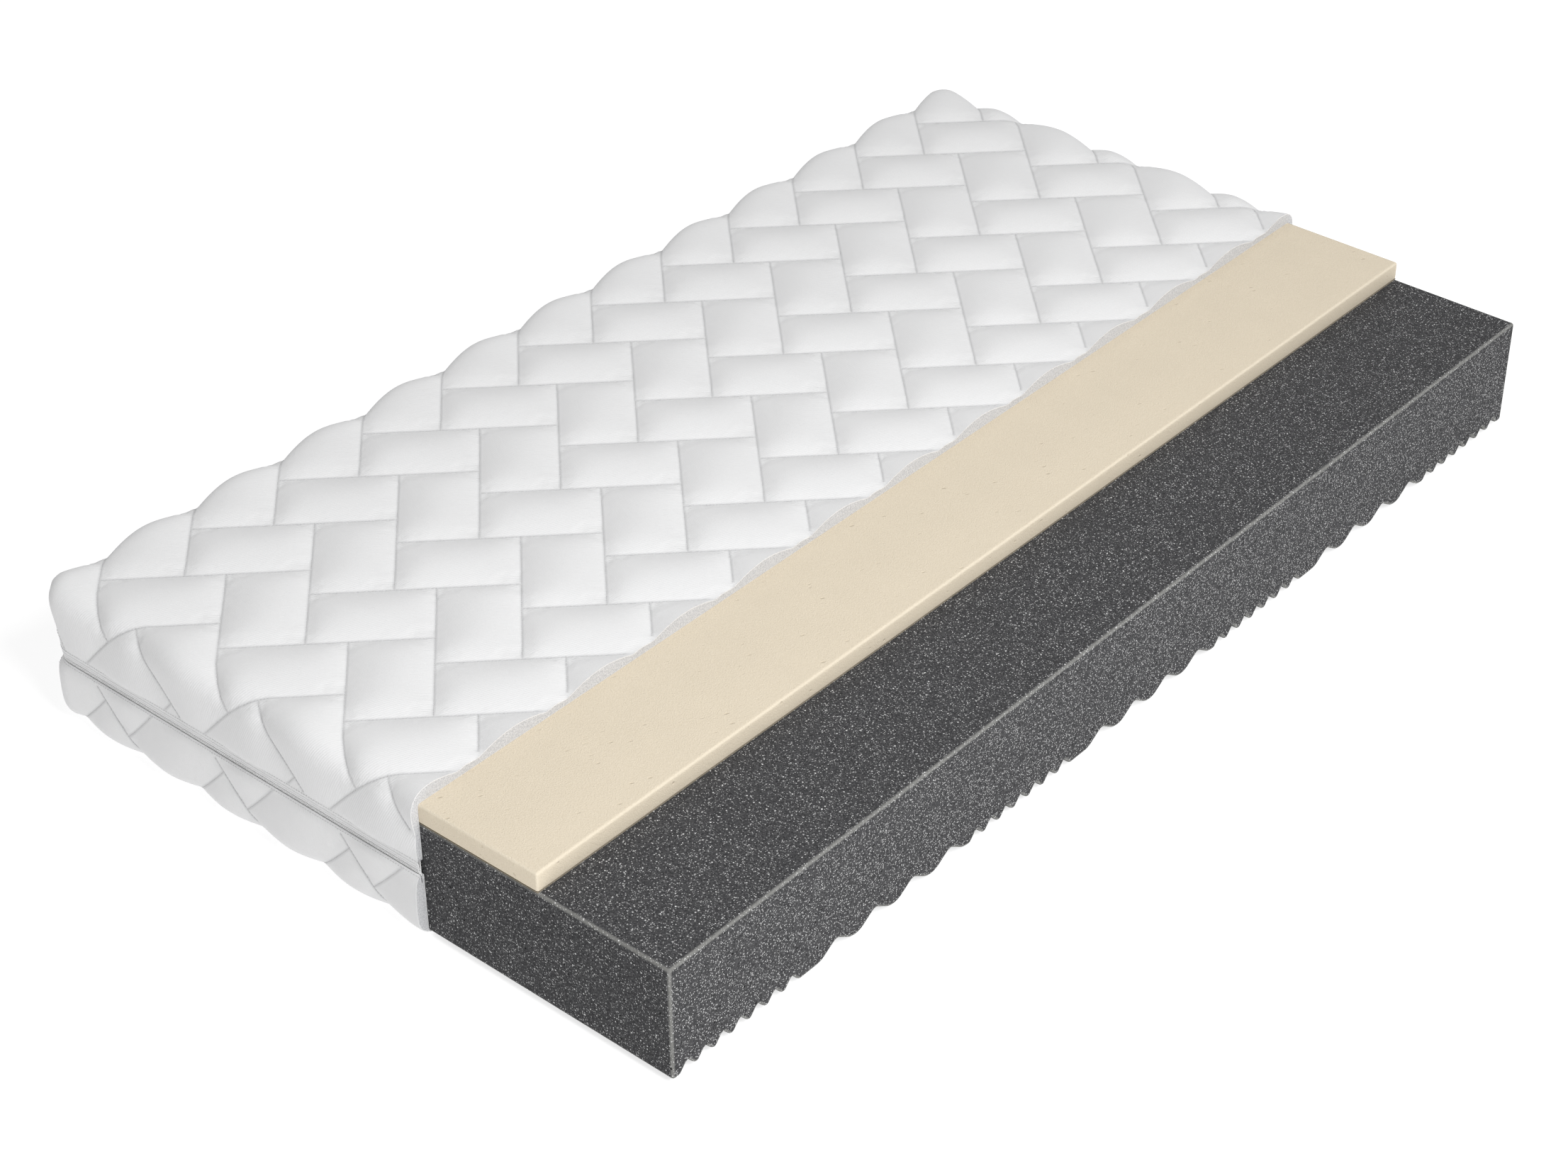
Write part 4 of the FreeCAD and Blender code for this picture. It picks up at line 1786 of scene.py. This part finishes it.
    def build_memory(self, finishes: Finishes) -> None:
        """The memory foam sheet, with its edges slightly rounded.

        Args:
            finishes: The materials.
        """
        low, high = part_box("memory_foam")
        outline = self.plan(low, high)
        height = high.z - low.z
        arc = quarter_round(self.rounding)
        levels = arc + [(0.0, height - 0.013), (0.0, height - 0.008)]
        levels += [(back, height - down) for back, down in reversed(arc)]
        levels += [(inset, height) for inset in (0.0055, 0.008, 0.011, 0.014)]
        rings = [
            np.column_stack([self.drawn_in(outline, inset, low, high), np.full(len(outline), low.z + rise)])
            for inset, rise in levels
        ]
        points = self.foam_edge.soften(np.vstack(rings), low, high, self.corner, (1,))
        count = len(outline)
        faces: list[Face] = [tuple(reversed(range(count)))]
        for ring in range(len(rings) - 1):
            for k in range(count):
                a, b = ring * count + k, ring * count + (k + 1) % count
                faces.append((a, b, b + count, a + count))
        last = (len(rings) - 1) * count
        faces.append(tuple(range(last, last + count)))
        shape = bmesh.new()
        rough = new_mesh("memory_rough", points, faces)
        shape.from_mesh(rough)
        bmesh.ops.remove_doubles(shape, verts=shape.verts, dist=1e-6)
        bmesh.ops.recalc_face_normals(shape, faces=shape.faces)
        mesh = bpy.data.meshes.new("memory_sheet")
        shape.to_mesh(mesh)
        shape.free()
        bpy.data.meshes.remove(rough)
        shade_smooth(mesh)
        # Painted highlight on the vertices near the sheet's rounded edges, stored as the edge attribute.
        edge_highlight = []
        for vertex in mesh.vertices:
            x, y, z = vertex.co
            gaps = sorted((high.x - x, min(y - low.y, high.y - y), min(z - low.z, high.z - z)))
            edge_highlight.append(1.0 if gaps[1] < 0.9 * self.rounding else 0.0)
        set_attribute(mesh, "edge", np.array(edge_highlight))
        mesh.set_sharp_from_angle(angle=SHARP_ANGLE)
        piece = add_object("memory_sheet", mesh)
        piece.data.materials.append(finishes.memory)
        settle(piece, "foam_core", "memory_foam")

    def build(self, finishes: Finishes) -> None:
        """Builds both foams and dresses the glue."""
        self.build_core(finishes)
        self.build_memory(finishes)
        dress("glue_layer", finishes.glue)


# ---- Assembly --------------------------------------------------------------------------------
@dataclass
class Mattress:
    """The whole mattress, with its sizes taken from the CAD model."""

    finishes: Finishes
    tree: BeadTree
    foam_corner: float = 0.028
    top_roll: float = 0.035
    base_roll: float = 0.036
    grid_steps: int = 282
    top_brick: tuple[int, int] = (15, 255)
    bottom_brick: tuple[int, int] = (29, -3)
    top_border: tuple[tuple[float, float], ...] = (
        (0.0094, 0.0026), (0.0088, 0.0004), (0.0074, -0.0003), (0.0084, -0.0010), (0.0086, -0.0040),
        (0.0072, -0.0048), (0.0080, -0.0056), (0.0081, -0.0082), (0.0072, -0.0091),
    )
    bottom_border: tuple[tuple[float, float], ...] = ((0.0088, -0.0012), (0.0078, -0.0002))

    def build(self) -> None:
        """Builds every sub-assembly in order."""
        core_low, core_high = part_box("core_foam")
        _, memory_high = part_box("memory_foam")
        upper_low, upper_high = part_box("top_cover_fabric")
        _, lower_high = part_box("bottom_cover_fabric")
        cut_x = max(upper_high.x, lower_high.x)
        centre_x = core_low.x + self.foam_corner
        centre_y = core_high.y - self.foam_corner
        step = 2 * centre_y / self.grid_steps
        swell = QuiltPuff(Herringbone(step, (0, 0))).build()
        foam_edge = FoamEdge(cut_x)
        LOG.info("swell ready")
        top_section = CoverSection(
            Half.TOP, memory_high.z, face_valley=0.0098, face_crown=0.0232,
            side_valley=0.0088, side_crown=0.0172, edge_radius=self.top_roll, foam_corner=self.foam_corner,
            seam_level=upper_low.z + 0.0048, fade_reach=0.024,
        )
        bottom_section = CoverSection(
            Half.BOTTOM, core_low.z, face_valley=0.0050, face_crown=0.0083,
            side_valley=0.0088, side_crown=0.0180, edge_radius=self.base_roll, foam_corner=self.foam_corner,
            seam_level=lower_high.z - 0.0026, fade_reach=0.022, roll_crown=0.0035,
        )
        top, bottom = (
            CoverHalf(
                section.half, body, section, Herringbone(step, brick), swell, centre_x, centre_y, cut_x,
                border=[(stand_off, level + rise) for stand_off, rise in border], foam_edge=foam_edge,
            )
            for body, section, brick, level, border in (
                ("top_cover", top_section, self.top_brick, upper_low.z, self.top_border),
                ("bottom_cover", bottom_section, self.bottom_brick, lower_high.z, self.bottom_border),
            )
        )
        for part in (top, bottom):
            part.build(self.finishes, self.tree)
            LOG.info("%s half built", part.half.name.lower())
        ZipChain(centre_x, centre_y, cut_x, self.foam_corner).build(self.finishes, self.tree)
        LOG.info("zip built")
        FoamBlocks(self.foam_corner, foam_edge).build(self.finishes)
        LOG.info("foam built")


@dataclass
class Studio:
    """Floor, soft light and camera."""

    azimuth: float = 40.813
    elevation: float = 35.199
    roll: float = 0.387
    lens: float = 71.6
    target: tuple[float, float, float] = (0.11038, -0.22977, 0.1185)
    distance: float = 4.43203

    def floor(self) -> None:
        """A wide pale floor just under the mattress."""
        reach = 30.0
        level = CAD_BOUNDS[0].z - 0.0002
        corners = np.array([(x * reach, y * reach, level) for x, y in ((-1, -1), (1, -1), (1, 1), (-1, 1))])
        piece = add_object("studio_floor", new_mesh("studio_floor", corners, [(0, 1, 2, 3)]))
        shade = Shading("studio_paper")
        paper = shade.noise(shade.place, 3.0, 2.0)
        tone = shade.mix(paper, grey(0.45), grey(0.47))
        shade.shader.inputs["Emission Color"].default_value = grey(1.0)
        piece.data.materials.append(shade.finish(tone, 0.95, Specular_IOR_Level=0.0, Emission_Strength=0.70))

    def lamp(self, name: str, place: Sequence[float], size: float, power: float) -> None:
        """A square soft light that faces the mattress.

        Args:
            name: Its name.
            place: Where it hangs.
            size: Its side.
            power: Its power in watts.
        """
        data = bpy.data.lights.new(name, "AREA")
        data.size = size
        data.energy = power
        lamp = bpy.data.objects.new(name, data)
        bpy.context.scene.collection.objects.link(lamp)
        lamp.location = place
        lamp.rotation_euler = (-Vector(place)).to_track_quat("-Z", "Y").to_euler()

    def lights(self) -> None:
        """A bright room, a broad key light from the upper left and a weak fill."""
        world = bpy.data.worlds.new("studio_room")
        world.use_nodes = True
        world.node_tree.nodes["Background"].inputs["Color"].default_value = grey(1.0)
        world.node_tree.nodes["Background"].inputs["Strength"].default_value = 0.48
        bpy.context.scene.world = world
        bpy.context.scene.view_settings.view_transform = "Standard"
        self.lamp("key_light", (3.8, -1.2, 3.6), 2.0, 215.0)
        self.lamp("fill_light", (-3.0, 3.0, 4.5), 3.0, 30.0)

    def camera(self) -> None:
        """The camera, set by its direction, distance and roll."""
        data = bpy.data.cameras.new("studio_camera")
        data.lens = self.lens
        data.sensor_width = 36.0
        data.clip_end = 200.0
        camera = bpy.data.objects.new("studio_camera", data)
        bpy.context.scene.collection.objects.link(camera)
        azimuth, elevation = math.radians(self.azimuth), math.radians(self.elevation)
        back = Vector(
            (
                math.sin(azimuth) * math.cos(elevation),
                -math.cos(azimuth) * math.cos(elevation),
                math.sin(elevation),
            )
        )
        place = Vector(self.target) + self.distance * back
        turn = Matrix.Rotation(azimuth, 4, "Z") @ Matrix.Rotation(QUARTER_TURN - elevation, 4, "X")
        roll = Matrix.Rotation(-math.radians(self.roll), 4, "Z")
        camera.matrix_world = Matrix.Translation(place) @ turn @ roll
        bpy.context.scene.camera = camera

    def build(self) -> None:
        """Builds the studio."""
        self.floor()
        self.lights()
        self.camera()


def main() -> None:
    """Builds the mattress and its studio."""
    logging.basicConfig(level=logging.INFO, format="%(name)s: %(message)s")
    Studio().build()
    Mattress(Finishes(), BeadTree("beads_on_rails")).build()


if __name__ == "__main__":
    main()
